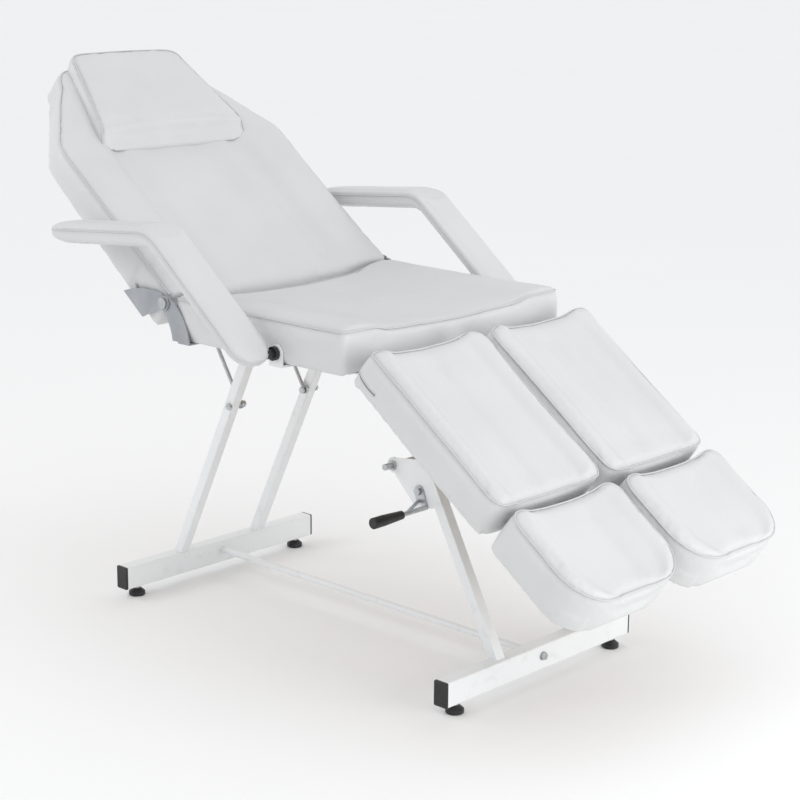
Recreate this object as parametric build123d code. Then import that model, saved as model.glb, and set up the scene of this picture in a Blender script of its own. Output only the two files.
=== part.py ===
from build123d import *
import math
import os

# Tattoo chair. Millimetres, Z up, the head end towards +Y, the foot end towards -Y, X across the chair.
# Lengths along Y are first laid out from a datum near the middle of the base, and the finished
# assembly is then centred over the origin, which lies on the floor.

# Floor bars: rectangular steel tube, one under the head end and one under the foot end.
bar_length = 525.0
bar_height = 48.0
bar_depth = 31.0
bar_wall = 1.5
bar_corner = 3.0
bar_bottom_z = 21.5
front_bar_y = -431.5
rear_bar_y = 462.5

# End caps: black plastic plugs pushed into the bars.
cap_flange = 5.0
cap_plug_depth = 18.0
cap_plug_wall = 2.5
cap_edge = 1.5
plug_clearance = 0.2

# Levelling feet and their nuts, set in from the ends of the bars.
foot_inset = 34.9
foot_disc_radius = 17.0
foot_disc_height = 8.0
foot_edge = 1.5
foot_neck_radius = 9.0
foot_neck_top_z = 15.0
stem_radius = 4.0
stem_clearance = 0.05
nut_flats = 13.0
nut_height = 5.5
nut_gap = 0.3
stem_above_nut = 3.0
foot_x = bar_length / 2 - foot_inset

# Struts: square tube, two to each bar, cut level at both ends.
strut_side = 22.0
strut_wall = 1.5
strut_corner = 2.0
strut_x = 108.0
rear_strut_foot_y = 458.0
rear_strut_head_y = 208.0
front_strut_foot_y = -425.0
front_strut_head_y = -149.0

# Stretcher: a thin tube between the bars, closed by threaded plugs and held by a bolt at each end.
stretcher_radius = 7.0
stretcher_wall = 1.2
stretcher_z = 49.0
stretcher_plug_depth = 22.0
bolt_radius = 4.0
bolt_clearance = 0.1
bolt_head_flats = 13.0
bolt_head_height = 5.3
washer_radius = 8.5
washer_thickness = 1.6
bolt_grip = 14.0

# Frames of the sections: square steel tube, with a board on top, inside the skirts of the cushion.
rail_side = 20.0
rail_wall = 1.5
board_thickness = 12.0
board_gap = 0.5
board_inset = 3.0
skirt_thickness = 14.0
skirt_clearance = 0.5

# Width of the pads, shared by the seat, the back and the two legs together, from the middle.
pad_half_width = 305.0

# Seat section.
seat_half_width = pad_half_width
seat_rear_y = 238.0
seat_front_y = -224.0
seat_bottom_z = 591.0
seat_seam_z = 672.0
seat_rail_inset = 43.0
seat_rail_x = seat_half_width - seat_rail_inset
seat_front_rail_y = -196.0

# Shape of the upholstery, shared by the sections.
crown = 4.0
dish_depth = 17.0
side_bow = 4.0
seam_inset = 5.0
end_rounding = 12.0
seat_roll_width = 115.0
seat_dish_half = seat_half_width - seat_roll_width
dish_taper_share = 0.5
foot_dish_taper_share = 0.65

# Back section, laid out flat from its hinge: u runs up the back, v out of its upper face.
hinge_y = 256.0
hinge_z = 661.0
back_angle = 37.3
back_half_width = pad_half_width
back_start = -4.0
back_shoulder = 432.0
back_head_step = 115.0
back_head_half_width = back_half_width - back_head_step
back_head_corner = 48.0
back_end = 652.0
back_neck = 545.0
back_neck_step = 73.0
back_neck_half_width = back_half_width - back_neck_step
back_seam_v = 16.3
back_bottom_v = -72.5
back_head_bottom_v = -48.0
back_roll_width = 129.0
back_dish_half = back_half_width - back_roll_width
back_rail_inset = 80.0
back_rail_x = back_half_width - back_rail_inset
back_rail_start = 40.0
back_rail_end = 490.0
back_rail_v = -40.0
stay_rail_u = 347.0

# Side hinge of the back: a seat leaf and a back leaf on each side, on one bolt.
leaf_thickness = 3.0
leaf_gap = 0.4
hinge_bolt_radius = 6.0
hinge_bolt_clearance = 0.08
hinge_head_radius = 11.0
hinge_head_height = 4.0
seat_leaf_eye = 15.0
seat_leaf_front_y = 186.0
seat_leaf_rear_y = 234.0
back_leaf_length = 100.0
back_leaf_eye = 15.0
back_leaf_start = 14.0

# Telescopic stays that hold the back: a rod hinged on each rear strut, a sleeve under the back.
stay_x = 90.0
stay_rod_radius = 4.0
stay_rod_length = 325.0
stay_eye_radius = 9.0
stay_eye_thickness = 5.0
stay_foot_y = 285.0
stay_foot_z = 418.0
stay_pin_radius = 4.0
stay_pin_clearance = 0.08
stay_head_u = 314.8
stay_head_v = -46.0
sleeve_height = 25.0
sleeve_width = 14.0
sleeve_wall = 1.5
sleeve_length = 230.0
sleeve_tail = 6.0
stay_ear_thickness = 3.0
stay_ear_gap = 0.5
stay_ear_radius = 9.0

# Leg section, laid out flat from its hinge: w runs towards the foot end, v out of its upper face.
leg_hinge_y = -229.0
leg_hinge_z = 586.0
leg_angle = 36.1
leg_start = 5.0
leg_end = 386.0
leg_half_gap = 7.0
leg_half_width = pad_half_width
leg_bottom_v = 5.0
leg_seam_v = 84.0
leg_roll_width = 53.0
leg_dish_half = (leg_half_width - leg_half_gap) / 2 - leg_roll_width
leg_dish_depth = 11.0
leg_corner = 32.0
leg_rail_inset = 53.0
leg_rail_x = leg_half_width - leg_rail_inset
leg_inner_rail_x = leg_half_gap + leg_rail_inset
leg_rail_start = 24.0
leg_rail_end = 366.0

# Knuckles of the leg hinge.
knuckle_radius = 6.5
knuckle_bore = 4.0
knuckle_clearance = 0.08
knuckle_inset = 90.0
knuckle_x = pad_half_width - knuckle_inset
knuckle_length = 24.0
knuckle_gap = 0.5
knuckle_leaf = 3.0

# Foot sections: two pads that slide out of the leg section on round bars.
foot_pad_start = 394.0
foot_pad_end = 618.0
foot_bottom_v = 7.0
foot_seam_v = 92.7
foot_corner = 86.0
foot_end_bow = 14.0
foot_dish_depth = 9.0
foot_tube_radius = 7.5
foot_tube_wall = 1.5
foot_tube_clearance = 0.06
foot_tube_offset = 50.0
foot_tube_v = 15.0
foot_tube_inner_end = 215.0
guide_wall = 1.5
guide_length = 90.0
foot_board_gap = 0.5

# Plates at the front struts, with the shaft of the leg stay and the bolt of the lever.
plate_thickness = 4.0
shaft_y = -176.0
shaft_z = 388.0
shaft_radius = 6.0
shaft_overhang = 24.0
lever_bolt_y = -244.0
lever_bolt_z = 352.0
plate_eye = 15.0
plate_tail_y = -236.0
plate_tail_z = 316.0
plate_front_y = -279.0
plate_front_z = 325.0
shaft_nut_flats = 17.0
shaft_nut_height = 6.0

# Telescopic stay of the leg section, in the middle of the chair.
leg_stay_w = 263.0
leg_stay_v = -9.0
leg_stay_rod_radius = 6.0
leg_stay_rod_length = 200.0
leg_stay_eye = 13.0
leg_stay_eye_width = 20.0
leg_sleeve_height = 28.0
leg_sleeve_width = 18.0
leg_sleeve_length = 200.0
leg_sleeve_tail = 8.0
leg_stay_pin_radius = 5.0

# Release lever: a latch on the outer face of the left plate, two rods and a grip.
latch_thickness = 3.0
latch_radius = 11.0
lever_rod_radius = 4.5
lever_rod_y = -262.0
lever_rod_z = 324.0
lever_brace_y = -243.0
lever_brace_z = 333.0
grip_inner_x = -188.0
grip_outer_x = -267.0
grip_radius = 10.5
grip_waist_radius = 8.0
grip_edge = 2.0

# Arms: a padded dog-leg on a steel core, on a bracket at each side of the seat.
arm_clearance = 14.0
arm_inner_x = seat_half_width + arm_clearance
arm_width = 92.0
arm_thickness = 24.0
arm_rest_underside = 22.0
arm_end_share = 0.46
arm_end_cover = 12.0
arm_pivot_y = -56.0
arm_pivot_z = 612.0
arm_slope = 38.9
arm_rise_length = 318.0
arm_rest_length = 298.0
arm_rest_drop = 5.0
arm_bend_radius = 30.0
arm_pad_edge = 7.0
arm_tail = 8.0
core_thickness = 5.0
core_width = 26.0
core_clearance = 0.3
bracket_width = 34.0
bracket_thickness = 4.0
bracket_gap = 1.0
arm_bolt_radius = 6.0
arm_bolt_clearance = 0.08
arm_spacer_radius = 13.0
arm_hub_radius = 8.0
core_eye_radius = 9.5

# Head pillow, in the dish of the back.
pillow_start = 406.0
pillow_end = 668.0
pillow_front_half = 202.0
pillow_rear_half = 148.0
pillow_height = 55.0
pillow_sink = 4.0
pillow_tuck = 10.0
pillow_crown = 5.0
pillow_gap = 0.6
pillow_head_gap = 2.3

# Screws that hold the leaves and the brackets under the frames.
screw_radius = 3.0
screw_head_radius = 5.5
screw_head_height = 3.0
screw_reach = 8.0
screw_clearance = 0.1
screw_spacing = 16.0
leaf_bolt_radius = 4.0
leaf_nut_flats = 11.0
leaf_nut_height = 4.0
leaf_bolt_us = 50.0
leaf_bolt_spacing = 32.0
leaf_sleeve_radius = 7.0
end_plate_thickness = 4.0

# Small values used all over.
cut_over = 1.0
hair_gap = 0.3


def shares_of_arc(count):
    """Cosine-spaced shares from 0 to 1, close together where an arc starts steeply."""
    return [1 - math.cos(math.pi / 2 * step / count) for step in range(count + 1)]


def box_between(low, high):
    """A box from its lowest to its highest corner."""
    size = [top - bottom for bottom, top in zip(low, high)]
    return Pos(*low) * Box(*size, align=(Align.MIN, Align.MIN, Align.MIN))


def rod_x(radius, low_x, high_x, y, z):
    """A round rod along X."""
    return Pos(low_x, y, z) * Rot(0, 90, 0) * Cylinder(
        radius, high_x - low_x, align=(Align.CENTER, Align.CENTER, Align.MIN)
    )


def rod_y(radius, low_y, high_y, x, z):
    """A round rod along Y."""
    return Pos(x, low_y, z) * Rot(-90, 0, 0) * Cylinder(
        radius, high_y - low_y, align=(Align.CENTER, Align.CENTER, Align.MIN)
    )


def rod_z(radius, low_z, high_z, x, y):
    """A round rod along Z."""
    return Pos(x, y, low_z) * Cylinder(radius, high_z - low_z,
                                       align=(Align.CENTER, Align.CENTER, Align.MIN))


def rod_between(radius, start, end):
    """A round rod from one point to another."""
    start, end = Vector(*start), Vector(*end)
    place = Plane(origin=start, z_dir=end - start)
    return place * Cylinder(radius, (end - start).length, align=(Align.CENTER, Align.CENTER, Align.MIN))


def hexagon_x(flats, low_x, high_x, y, z):
    """A hexagonal head or nut with its axis along X."""
    sketch = RegularPolygon(flats / 2, 6, major_radius=False)
    return extrude(Plane.YZ.offset(low_x) * Pos(y, z) * sketch, high_x - low_x)


def plate_x(sketch, low_x, thickness):
    """A flat plate that lies across X: the sketch is drawn in Y and Z."""
    return extrude(Plane.YZ.offset(low_x) * sketch, thickness, dir=(1, 0, 0))


def mirrored_x(solid):
    """The same piece on the other side of the chair."""
    return mirror(solid, Plane.YZ)


def group(pieces):
    """Several separate pieces as one node."""
    return Compound([solid for piece in pieces for solid in piece.solids()])


def hull_of_circles(circles):
    """The outline round two circles, each given as (y, z, radius)."""
    (y1, z1, r1), (y2, z2, r2) = circles
    run = Vector(y2 - y1, z2 - z1)
    turn = math.atan2(run.Y, run.X)
    lean = math.acos((r1 - r2) / run.length)
    corners = []
    for y, z, r in circles:
        corners.append([(y + r * math.cos(turn + side * lean), z + r * math.sin(turn + side * lean))
                        for side in (1, -1)])
    middle = Polygon(corners[0][0], corners[0][1], corners[1][1], corners[1][0], align=None)
    return Pos(y1, z1) * Circle(r1) + Pos(y2, z2) * Circle(r2) + middle


# Upholstery.

def upholstery_wire(y, half, bottom, seam, dish_half, dish_drop, centre_x):
    """One cross-section of a pad, bottom to crown, with two raised rolls and a dished middle."""
    tuck = side_bow
    roll_x = (half + dish_half) / 2
    points = {
        "bottom": (half - tuck, bottom),
        "side": (half, bottom + (seam - bottom) / 2),
        "seam": (half - seam_inset, seam),
        "roll": (roll_x, seam + crown),
        "edge": (dish_half, seam - dish_drop / 2),
        "middle": (0, seam - dish_drop),
    }

    def at(name, side=1):
        x, z = points[name]
        return (centre_x + side * x, y, z)

    edges = [
        Edge.make_line(at("bottom", -1), at("bottom")),
        Edge.make_three_point_arc(at("bottom"), at("side"), at("seam")),
        Edge.make_three_point_arc(at("seam"), at("roll"), at("edge")),
        Edge.make_three_point_arc(at("edge"), at("middle"), at("edge", -1)),
        Edge.make_three_point_arc(at("edge", -1), at("roll", -1), at("seam", -1)),
        Edge.make_three_point_arc(at("seam", -1), at("side", -1), at("bottom", -1)),
    ]
    return Wire(edges)


def upholstered_pad(stations, dish_drop, centre_x=0):
    """A pad lofted through stations, each given as (y, half, bottom, seam, dish_half)."""
    wires = [upholstery_wire(y, half, bottom, seam, dish, dish_drop, centre_x)
             for y, half, bottom, seam, dish in stations]
    return Solid.make_loft(wires, ruled=True)


def rounded_end(end_y, inward, half, bottom, seam, dish, corner, steps=4, taper=dish_taper_share):
    """Stations that round one end of a pad: its plan corners, its upper edge and its dish."""
    stations = []
    for share in shares_of_arc(steps):
        back = corner * share
        inset = corner - math.sqrt(corner ** 2 - (corner - back) ** 2)
        drop = 0
        if back < end_rounding:
            drop = end_rounding - math.sqrt(end_rounding ** 2 - (end_rounding - back) ** 2)
        stations.append((end_y + inward * back, half - inset, bottom, seam - drop, dish - inset * taper))
    return stations


def seat_cushion():
    """Foam and cover of the seat, with the recess for the board and the frame."""
    rear = rounded_end(seat_rear_y, -1, seat_half_width, seat_bottom_z, seat_seam_z,
                       seat_dish_half, end_rounding)
    front = rounded_end(seat_front_y, 1, seat_half_width, seat_bottom_z, seat_seam_z,
                        seat_dish_half, end_rounding)
    pad = upholstered_pad(front + rear[::-1], dish_depth)
    recess = box_between(
        (-seat_half_width + skirt_thickness, seat_front_y + skirt_thickness, seat_bottom_z - cut_over),
        (seat_half_width - skirt_thickness, seat_rear_y - skirt_thickness, seat_board_top_z() + board_gap),
    )
    return pad - recess


def seat_rail_bottom_z():
    return seat_bottom_z - skirt_clearance


def seat_board_top_z():
    return seat_rail_bottom_z() + rail_side + board_thickness


def seat_board():
    inset = skirt_thickness + board_inset
    return box_between(
        (-seat_half_width + inset, seat_front_y + inset, seat_board_top_z() - board_thickness),
        (seat_half_width - inset, seat_rear_y - inset, seat_board_top_z()),
    )


def rail_frame(rails):
    """A welded frame of square tube. Each rail is (low corner, high corner) of its outside."""
    outside = None
    inside = None
    for low, high in rails:
        outer = box_between(low, high)
        inner = box_between([c + rail_wall for c in low], [c - rail_wall for c in high])
        outside = outer if outside is None else outside + outer
        inside = inner if inside is None else inside + inner
    return outside - inside


def seat_frame():
    low_z = seat_rail_bottom_z()
    high_z = low_z + rail_side
    half = rail_side / 2
    front = seat_front_rail_y - half
    rear = rear_strut_head_y + half
    rails = [((side * seat_rail_x - half, front, low_z), (side * seat_rail_x + half, rear, high_z))
             for side in (-1, 1)]
    for y in (seat_front_rail_y, front_strut_head_y, rear_strut_head_y):
        rails.append(((-seat_rail_x - half, y - half, low_z), (seat_rail_x + half, y + half, high_z)))
    frame = rail_frame(rails)
    for side in (-1, 1):
        for y in screw_ys():
            frame -= rod_z(screw_radius + screw_clearance, low_z - cut_over, low_z + rail_wall + cut_over,
                           side * seat_rail_x, y)
    return frame


def screw_ys():
    """Where the screws go up into the side rails: two in each arm bracket and two in each seat leaf."""
    leaf_middle = (seat_leaf_front_y + rear_strut_head_y + rail_side / 2) / 2
    half = screw_spacing / 2
    return (arm_pivot_y - half, arm_pivot_y + half, leaf_middle - half, leaf_middle + half)


def frame_screws():
    """Pan-head screws up into the side rails of the seat frame."""
    solids = []
    bracket_low = seat_rail_bottom_z() - bracket_thickness
    leaf_low = seat_rail_bottom_z() - leaf_thickness
    lows = (bracket_low, bracket_low, leaf_low, leaf_low)
    for side in (-1, 1):
        for y, low in zip(screw_ys(), lows):
            screw = rod_z(screw_radius, low, low + screw_reach, side * seat_rail_x, y)
            head = rod_z(screw_head_radius, low - screw_head_height, low, side * seat_rail_x, y)
            head = fillet(head.faces().sort_by(Axis.Z)[0].edges(), screw_head_height / 2)
            solids.append(screw + head)
    return group(solids)


def screw_holes(piece, low_z, high_z, side, ys):
    for y in ys:
        piece -= rod_z(screw_radius + screw_clearance, low_z - cut_over, high_z + cut_over,
                       side * seat_rail_x, y)
    return piece


# Base.

def bar_top_z():
    return bar_bottom_z + bar_height


def floor_bar(y):
    outer = RectangleRounded(bar_depth, bar_height, bar_corner)
    inner = RectangleRounded(bar_depth - 2 * bar_wall, bar_height - 2 * bar_wall, bar_corner - bar_wall)
    middle_z = bar_bottom_z + bar_height / 2
    tube = extrude(Plane.YZ.offset(-bar_length / 2) * Pos(y, middle_z) * (outer - inner), bar_length)
    hole = stem_radius + stem_clearance
    for side in (-1, 1):
        tube -= rod_z(hole, bar_bottom_z - cut_over, bar_bottom_z + bar_wall + cut_over, side * foot_x, y)
    reach = bar_depth / 2 + cut_over
    tube -= rod_y(bolt_radius + bolt_clearance, y - reach, y + reach, 0, stretcher_z)
    return tube


def bar_end_cap(side, y):
    """A flanged plug at one end of a bar."""
    middle_z = bar_bottom_z + bar_height / 2
    face_x = bar_length / 2
    flange = extrude(Plane.YZ.offset(face_x) * Pos(y, middle_z)
                     * RectangleRounded(bar_depth, bar_height, bar_corner), cap_flange)
    flange = fillet(flange.faces().sort_by(Axis.X)[-1].edges(), cap_edge)
    depth = bar_depth - 2 * (bar_wall + plug_clearance)
    height = bar_height - 2 * (bar_wall + plug_clearance)
    ring = RectangleRounded(depth, height, bar_corner - bar_wall)
    ring -= Rectangle(depth - 2 * cap_plug_wall, height - 2 * cap_plug_wall)
    plug = extrude(Plane.YZ.offset(face_x) * Pos(y, middle_z) * ring, -cap_plug_depth)
    cap = flange + plug
    return cap if side > 0 else mirrored_x(cap)


def bar_end_caps():
    return group([bar_end_cap(side, y) for y in (front_bar_y, rear_bar_y) for side in (-1, 1)])


def levelling_foot(side, y):
    """Moulded disc on a threaded stem."""
    top = bar_bottom_z + bar_wall + nut_height + stem_above_nut
    profile = Polyline(
        (0, 0), (foot_disc_radius - foot_edge, 0), (foot_disc_radius, foot_edge),
        (foot_disc_radius, foot_disc_height), (foot_neck_radius, foot_neck_top_z),
        (stem_radius, foot_neck_top_z), (stem_radius, top), (0, top), (0, 0),
    )
    body = revolve(Plane.XZ * make_face(profile), Axis.Z)
    return Pos(side * foot_x, y, 0) * body


def hexagon_z(flats, low_z, high_z, x, y):
    sketch = RegularPolygon(flats / 2, 6, major_radius=False)
    return Pos(x, y, low_z) * extrude(sketch, high_z - low_z)


def foot_nuts():
    """A weld nut inside the bar and a lock nut under it, for each levelling foot."""
    nuts = []
    inner_z = bar_bottom_z + bar_wall
    for y in (front_bar_y, rear_bar_y):
        for side in (-1, 1):
            bore = rod_z(stem_radius + stem_clearance, foot_neck_top_z, inner_z + 2 * nut_height,
                         side * foot_x, y)
            nuts.append(hexagon_z(nut_flats, inner_z, inner_z + nut_height, side * foot_x, y) - bore)
            lock_nut = hexagon_z(nut_flats, foot_neck_top_z + nut_gap, bar_bottom_z, side * foot_x, y)
            nuts.append(lock_nut - bore)
    return group(nuts)


def strut(side, foot_y, head_y):
    """Square tube from the top of a bar to the underside of the seat frame, cut level at both ends."""
    height = seat_rail_bottom_z() - bar_top_z()
    run = head_y - foot_y
    stretch = math.hypot(run, height) / height
    outer = RectangleRounded(strut_side, strut_side * stretch, strut_corner)
    inner = RectangleRounded(strut_side - 2 * strut_wall, (strut_side - 2 * strut_wall) * stretch,
                             strut_corner - strut_wall)
    section = Pos(side * strut_x, foot_y, bar_top_z()) * (outer - inner)
    tube = Solid.extrude(section.faces()[0], Vector(0, run, height))
    if foot_y > 0:
        hole = stay_pin_radius + stay_pin_clearance
        tube -= rod_x(hole, -strut_x - strut_side, strut_x + strut_side, stay_foot_y, stay_foot_z)
    return tube


def stretcher_ends():
    return front_bar_y + bar_depth / 2, rear_bar_y - bar_depth / 2


def stretcher_tube():
    """Thin tube with a threaded plug welded into each end."""
    low, high = stretcher_ends()
    tube = rod_y(stretcher_radius, low, high, 0, stretcher_z)
    tube -= rod_y(stretcher_radius - stretcher_wall, low + stretcher_plug_depth,
                  high - stretcher_plug_depth,
                  0, stretcher_z)
    bore = bolt_radius + bolt_clearance
    tube -= rod_y(bore, low - cut_over, low + stretcher_plug_depth, 0, stretcher_z)
    tube -= rod_y(bore, high - stretcher_plug_depth, high + cut_over, 0, stretcher_z)
    return tube


def stretcher_bolts():
    """Hexagon bolts through the two bars into the stretcher, each on a washer."""
    solids = []
    for y, out in ((front_bar_y, -1), (rear_bar_y, 1)):
        face = y + out * bar_depth / 2
        washer = Pos(0, face + out * washer_thickness / 2, stretcher_z) * Rot(90, 0, 0) * (
            Cylinder(washer_radius, washer_thickness)
            - Cylinder(bolt_radius + bolt_clearance, washer_thickness)
        )
        solids.append(washer)
        seat_y = face + out * washer_thickness
        tip_y = y - out * (bar_depth / 2 + bolt_grip)
        shank = rod_y(bolt_radius, min(seat_y, tip_y), max(seat_y, tip_y), 0, stretcher_z)
        head = Pos(0, seat_y + out * bolt_head_height / 2, stretcher_z) * Rot(90, 0, 0) * extrude(
            RegularPolygon(bolt_head_flats / 2, 6, major_radius=False), bolt_head_height / 2, both=True
        )
        solids.append(shank + head)
    return group(solids)


# Plates, shaft and lever at the front struts.

def front_strut_y(z):
    share = (z - bar_top_z()) / (seat_rail_bottom_z() - bar_top_z())
    return front_strut_foot_y + share * (front_strut_head_y - front_strut_foot_y)


def plate_outer_x():
    return strut_x + strut_side / 2 + plate_thickness


def strut_plate(side):
    """Plate on the outer face of a front strut, with holes for the shaft and the lever bolt."""
    upper_z = shaft_z + plate_eye
    outline = Polygon(
        (plate_tail_y, plate_tail_z), (plate_front_y, plate_front_z),
        (front_strut_y(plate_front_z) - strut_side / 2, plate_front_z + rail_side / 2),
        (front_strut_y(upper_z) - strut_side / 2, upper_z + rail_side / 2),
        (shaft_y - plate_eye / 2, upper_z), (shaft_y + plate_eye * 0.8, shaft_z),
        align=None,
    )
    plate = plate_x(outline + Pos(shaft_y, shaft_z) * Circle(plate_eye), strut_x + strut_side / 2,
                    plate_thickness)
    plate -= rod_x(shaft_radius + bolt_clearance, strut_x, plate_outer_x() + cut_over, shaft_y, shaft_z)
    plate -= rod_x(bolt_radius + bolt_clearance, strut_x, plate_outer_x() + cut_over, lever_bolt_y,
                   lever_bolt_z)
    return plate if side > 0 else mirrored_x(plate)


def cross_shaft():
    """Shaft through both plates, with a nut outside each."""
    reach = plate_outer_x() + shaft_overhang
    shaft = rod_x(shaft_radius, -reach, reach, shaft_y, shaft_z)
    nut_low = plate_outer_x() + hair_gap
    nut = hexagon_x(shaft_nut_flats, nut_low, nut_low + shaft_nut_height, shaft_y, shaft_z)
    return shaft + nut + mirrored_x(nut)


def lever_bolts():
    """Hexagon bolt with its nut in the lower hole of each plate; the left one also carries the latch."""
    solids = []
    inner = strut_x + strut_side / 2
    nut_high = inner - hair_gap
    tip = nut_high - nut_height - stem_above_nut
    for side, seat in ((-1, lever_head_x()), (1, plate_outer_x())):
        bolt = rod_x(bolt_radius, tip, seat, lever_bolt_y, lever_bolt_z)
        bolt += hexagon_x(bolt_head_flats, seat, seat + bolt_head_height, lever_bolt_y, lever_bolt_z)
        nut = hexagon_x(bolt_head_flats, nut_high - nut_height, nut_high, lever_bolt_y, lever_bolt_z)
        nut -= rod_x(bolt_radius + stem_clearance, nut_high - nut_height - cut_over, nut_high + cut_over,
                     lever_bolt_y, lever_bolt_z)
        solids += [side_of(bolt, side), side_of(nut, side)]
    return group(solids)


def lever_head_x():
    """Where the head of the lever's bolt sits, outside the latch."""
    return plate_outer_x() + latch_thickness + 2 * hair_gap


def lever_frame():
    """Latch plate outside the left plate, with the long rod and its brace welded on."""
    high_x = -plate_outer_x() - hair_gap
    low_x = high_x - latch_thickness
    eye = (lever_bolt_y, lever_bolt_z, latch_radius)
    outline = hull_of_circles([eye, (lever_rod_y, lever_rod_z, lever_rod_radius)])
    outline += hull_of_circles([eye, (lever_brace_y, lever_brace_z, lever_rod_radius)])
    latch = plate_x(outline, low_x, latch_thickness)
    latch -= rod_x(bolt_radius + stay_pin_clearance, low_x - cut_over, high_x + cut_over,
                   lever_bolt_y, lever_bolt_z)
    rod = rod_x(lever_rod_radius, grip_inner_x - grip_radius * 3, high_x, lever_rod_y, lever_rod_z)
    brace = rod_between(
        lever_rod_radius * 0.8,
        (low_x + latch_thickness / 2, lever_brace_y, lever_brace_z),
        (grip_inner_x + grip_radius, lever_rod_y, lever_rod_z),
    )
    return latch + rod + brace


def lever_grip():
    """Moulded grip with a waist, pushed on the rod."""
    length = grip_inner_x - grip_outer_x
    waist_share = 0.35
    profile = [
        (0, 0), (grip_radius - grip_edge, 0), (grip_radius, grip_edge),
        (grip_radius, length * waist_share), (grip_waist_radius, length - grip_edge),
        (grip_waist_radius - grip_edge, length), (0, length), (0, 0),
    ]
    body = revolve(Plane.XZ * make_face(Polyline(*profile)), Axis.Z)
    grip = Pos(grip_outer_x, lever_rod_y, lever_rod_z) * Rot(0, 90, 0) * body
    return grip - rod_x(lever_rod_radius, grip_inner_x - grip_radius * 3, grip_inner_x + cut_over,
                        lever_rod_y, lever_rod_z)


# Side hinges of the back.

def seat_leaf_outline():
    """Curved leaf from the side of the seat up to the hinge bolt."""
    eye = Pos(hinge_y, hinge_z) * Circle(seat_leaf_eye)
    low_z = seat_rail_bottom_z()
    front_arc = ThreePointArc(
        (seat_leaf_front_y, low_z),
        (seat_leaf_front_y + (hinge_y - seat_leaf_front_y) * 0.25, low_z + (hinge_z - low_z) * 0.68),
        (hinge_y - seat_leaf_eye * 0.6, hinge_z + seat_leaf_eye * 0.8),
    )
    rear_arc = ThreePointArc(
        (hinge_y + seat_leaf_eye * 0.5, hinge_z - seat_leaf_eye * 0.85),
        (seat_leaf_rear_y + (hinge_y - seat_leaf_rear_y) * 0.45, low_z + (hinge_z - low_z) * 0.45),
        (seat_leaf_rear_y, low_z),
    )
    outline = make_face([
        front_arc, Line(front_arc @ 1, rear_arc @ 0), rear_arc, Line(rear_arc @ 1, front_arc @ 0),
    ])
    return outline + eye


def leaf_low_x():
    return seat_half_width + hair_gap


def seat_hinge_leaf(side):
    """Seat leaf with a foot turned in under the seat frame."""
    low_x = leaf_low_x()
    leaf = plate_x(seat_leaf_outline(), low_x, leaf_thickness)
    foot_z = seat_rail_bottom_z()
    foot = box_between(
        (seat_rail_x - rail_side / 2, seat_leaf_front_y, foot_z - leaf_thickness),
        (low_x + leaf_thickness, rear_strut_head_y + rail_side / 2, foot_z),
    )
    leaf += foot
    leaf -= rod_x(hinge_bolt_radius + hinge_bolt_clearance, low_x - cut_over,
                  low_x + leaf_thickness + cut_over,
                  hinge_y, hinge_z)
    leaf = screw_holes(leaf, foot_z - leaf_thickness, foot_z, 1, screw_ys()[2:])
    return leaf if side > 0 else mirrored_x(leaf)


def back_leaf_low_x():
    return leaf_low_x() + leaf_thickness + leaf_gap


def back_leaf_outline():
    """Quarter-round leaf on the side of the back, drawn from the hinge in u and v."""
    arc = ThreePointArc(
        (back_leaf_start, back_leaf_eye * 0.8),
        (back_leaf_length * 0.68, back_bottom_v * 0.36),
        (back_leaf_length, back_bottom_v * 0.9),
    )
    outline = make_face([
        arc, Line(arc @ 1, (back_leaf_start + back_leaf_eye, back_bottom_v * 0.92)),
        Line((back_leaf_start + back_leaf_eye, back_bottom_v * 0.92), (0, -back_leaf_eye)),
        Line((0, -back_leaf_eye), arc @ 0),
    ])
    return outline + Circle(back_leaf_eye)


def back_hinge_leaf(side):
    """Back leaf, held to the back frame by two studs through the skirt of the pad."""
    low_x = back_leaf_low_x()
    leaf = plate_x(back_leaf_outline(), low_x, leaf_thickness)
    leaf -= rod_x(hinge_bolt_radius + hinge_bolt_clearance, low_x - cut_over,
                  low_x + leaf_thickness + cut_over,
                  0, 0)
    return leaf if side > 0 else mirrored_x(leaf)


def leaf_bolt_places():
    return (leaf_bolt_us, leaf_bolt_us + leaf_bolt_spacing)


def leaf_nut_x(u):
    """Where the nut of a stud bears: inside the end plate, or inside the rail that closes against it."""
    if u < back_rail_start + rail_side:
        return end_plate_x() - end_plate_thickness - rail_wall
    return end_plate_x() - end_plate_thickness


def end_plate_x():
    """Outer face of the end plates of the back frame, just inside the skirt."""
    return back_half_width - skirt_thickness - side_bow - hair_gap


def leaf_bolts():
    """Studs welded behind the back leaves, each with a sleeve through the skirt and a nut inside."""
    solids = []
    low = end_plate_x()
    high = back_leaf_low_x()
    for side in (-1, 1):
        for u in leaf_bolt_places():
            nut_x = leaf_nut_x(u)
            bolt = rod_x(leaf_bolt_radius, nut_x - leaf_nut_height, high, u, back_rail_v)
            nut = hexagon_x(leaf_nut_flats, nut_x - leaf_nut_height, nut_x, u, back_rail_v)
            tube = rod_x(leaf_sleeve_radius, low, high, u, back_rail_v)
            tube -= rod_x(leaf_bolt_radius + screw_clearance, low - cut_over, high + cut_over, u,
                          back_rail_v)
            solids += [side_of(bolt + nut, side), side_of(tube, side)]
    return group(solids)


def hinge_bolts():
    """Shouldered bolts on the hinge axis, fixed in the seat leaves."""
    solids = []
    low_x = leaf_low_x()
    head_x = back_leaf_low_x() + leaf_thickness + leaf_gap
    for side in (-1, 1):
        bolt = rod_x(hinge_bolt_radius, low_x, head_x, hinge_y, hinge_z)
        bolt += rod_x(hinge_head_radius, head_x, head_x + hinge_head_height, hinge_y, hinge_z)
        solids.append(bolt if side > 0 else mirrored_x(bolt))
    return group(solids)


# Back section, flat, from its hinge axis.

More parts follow.
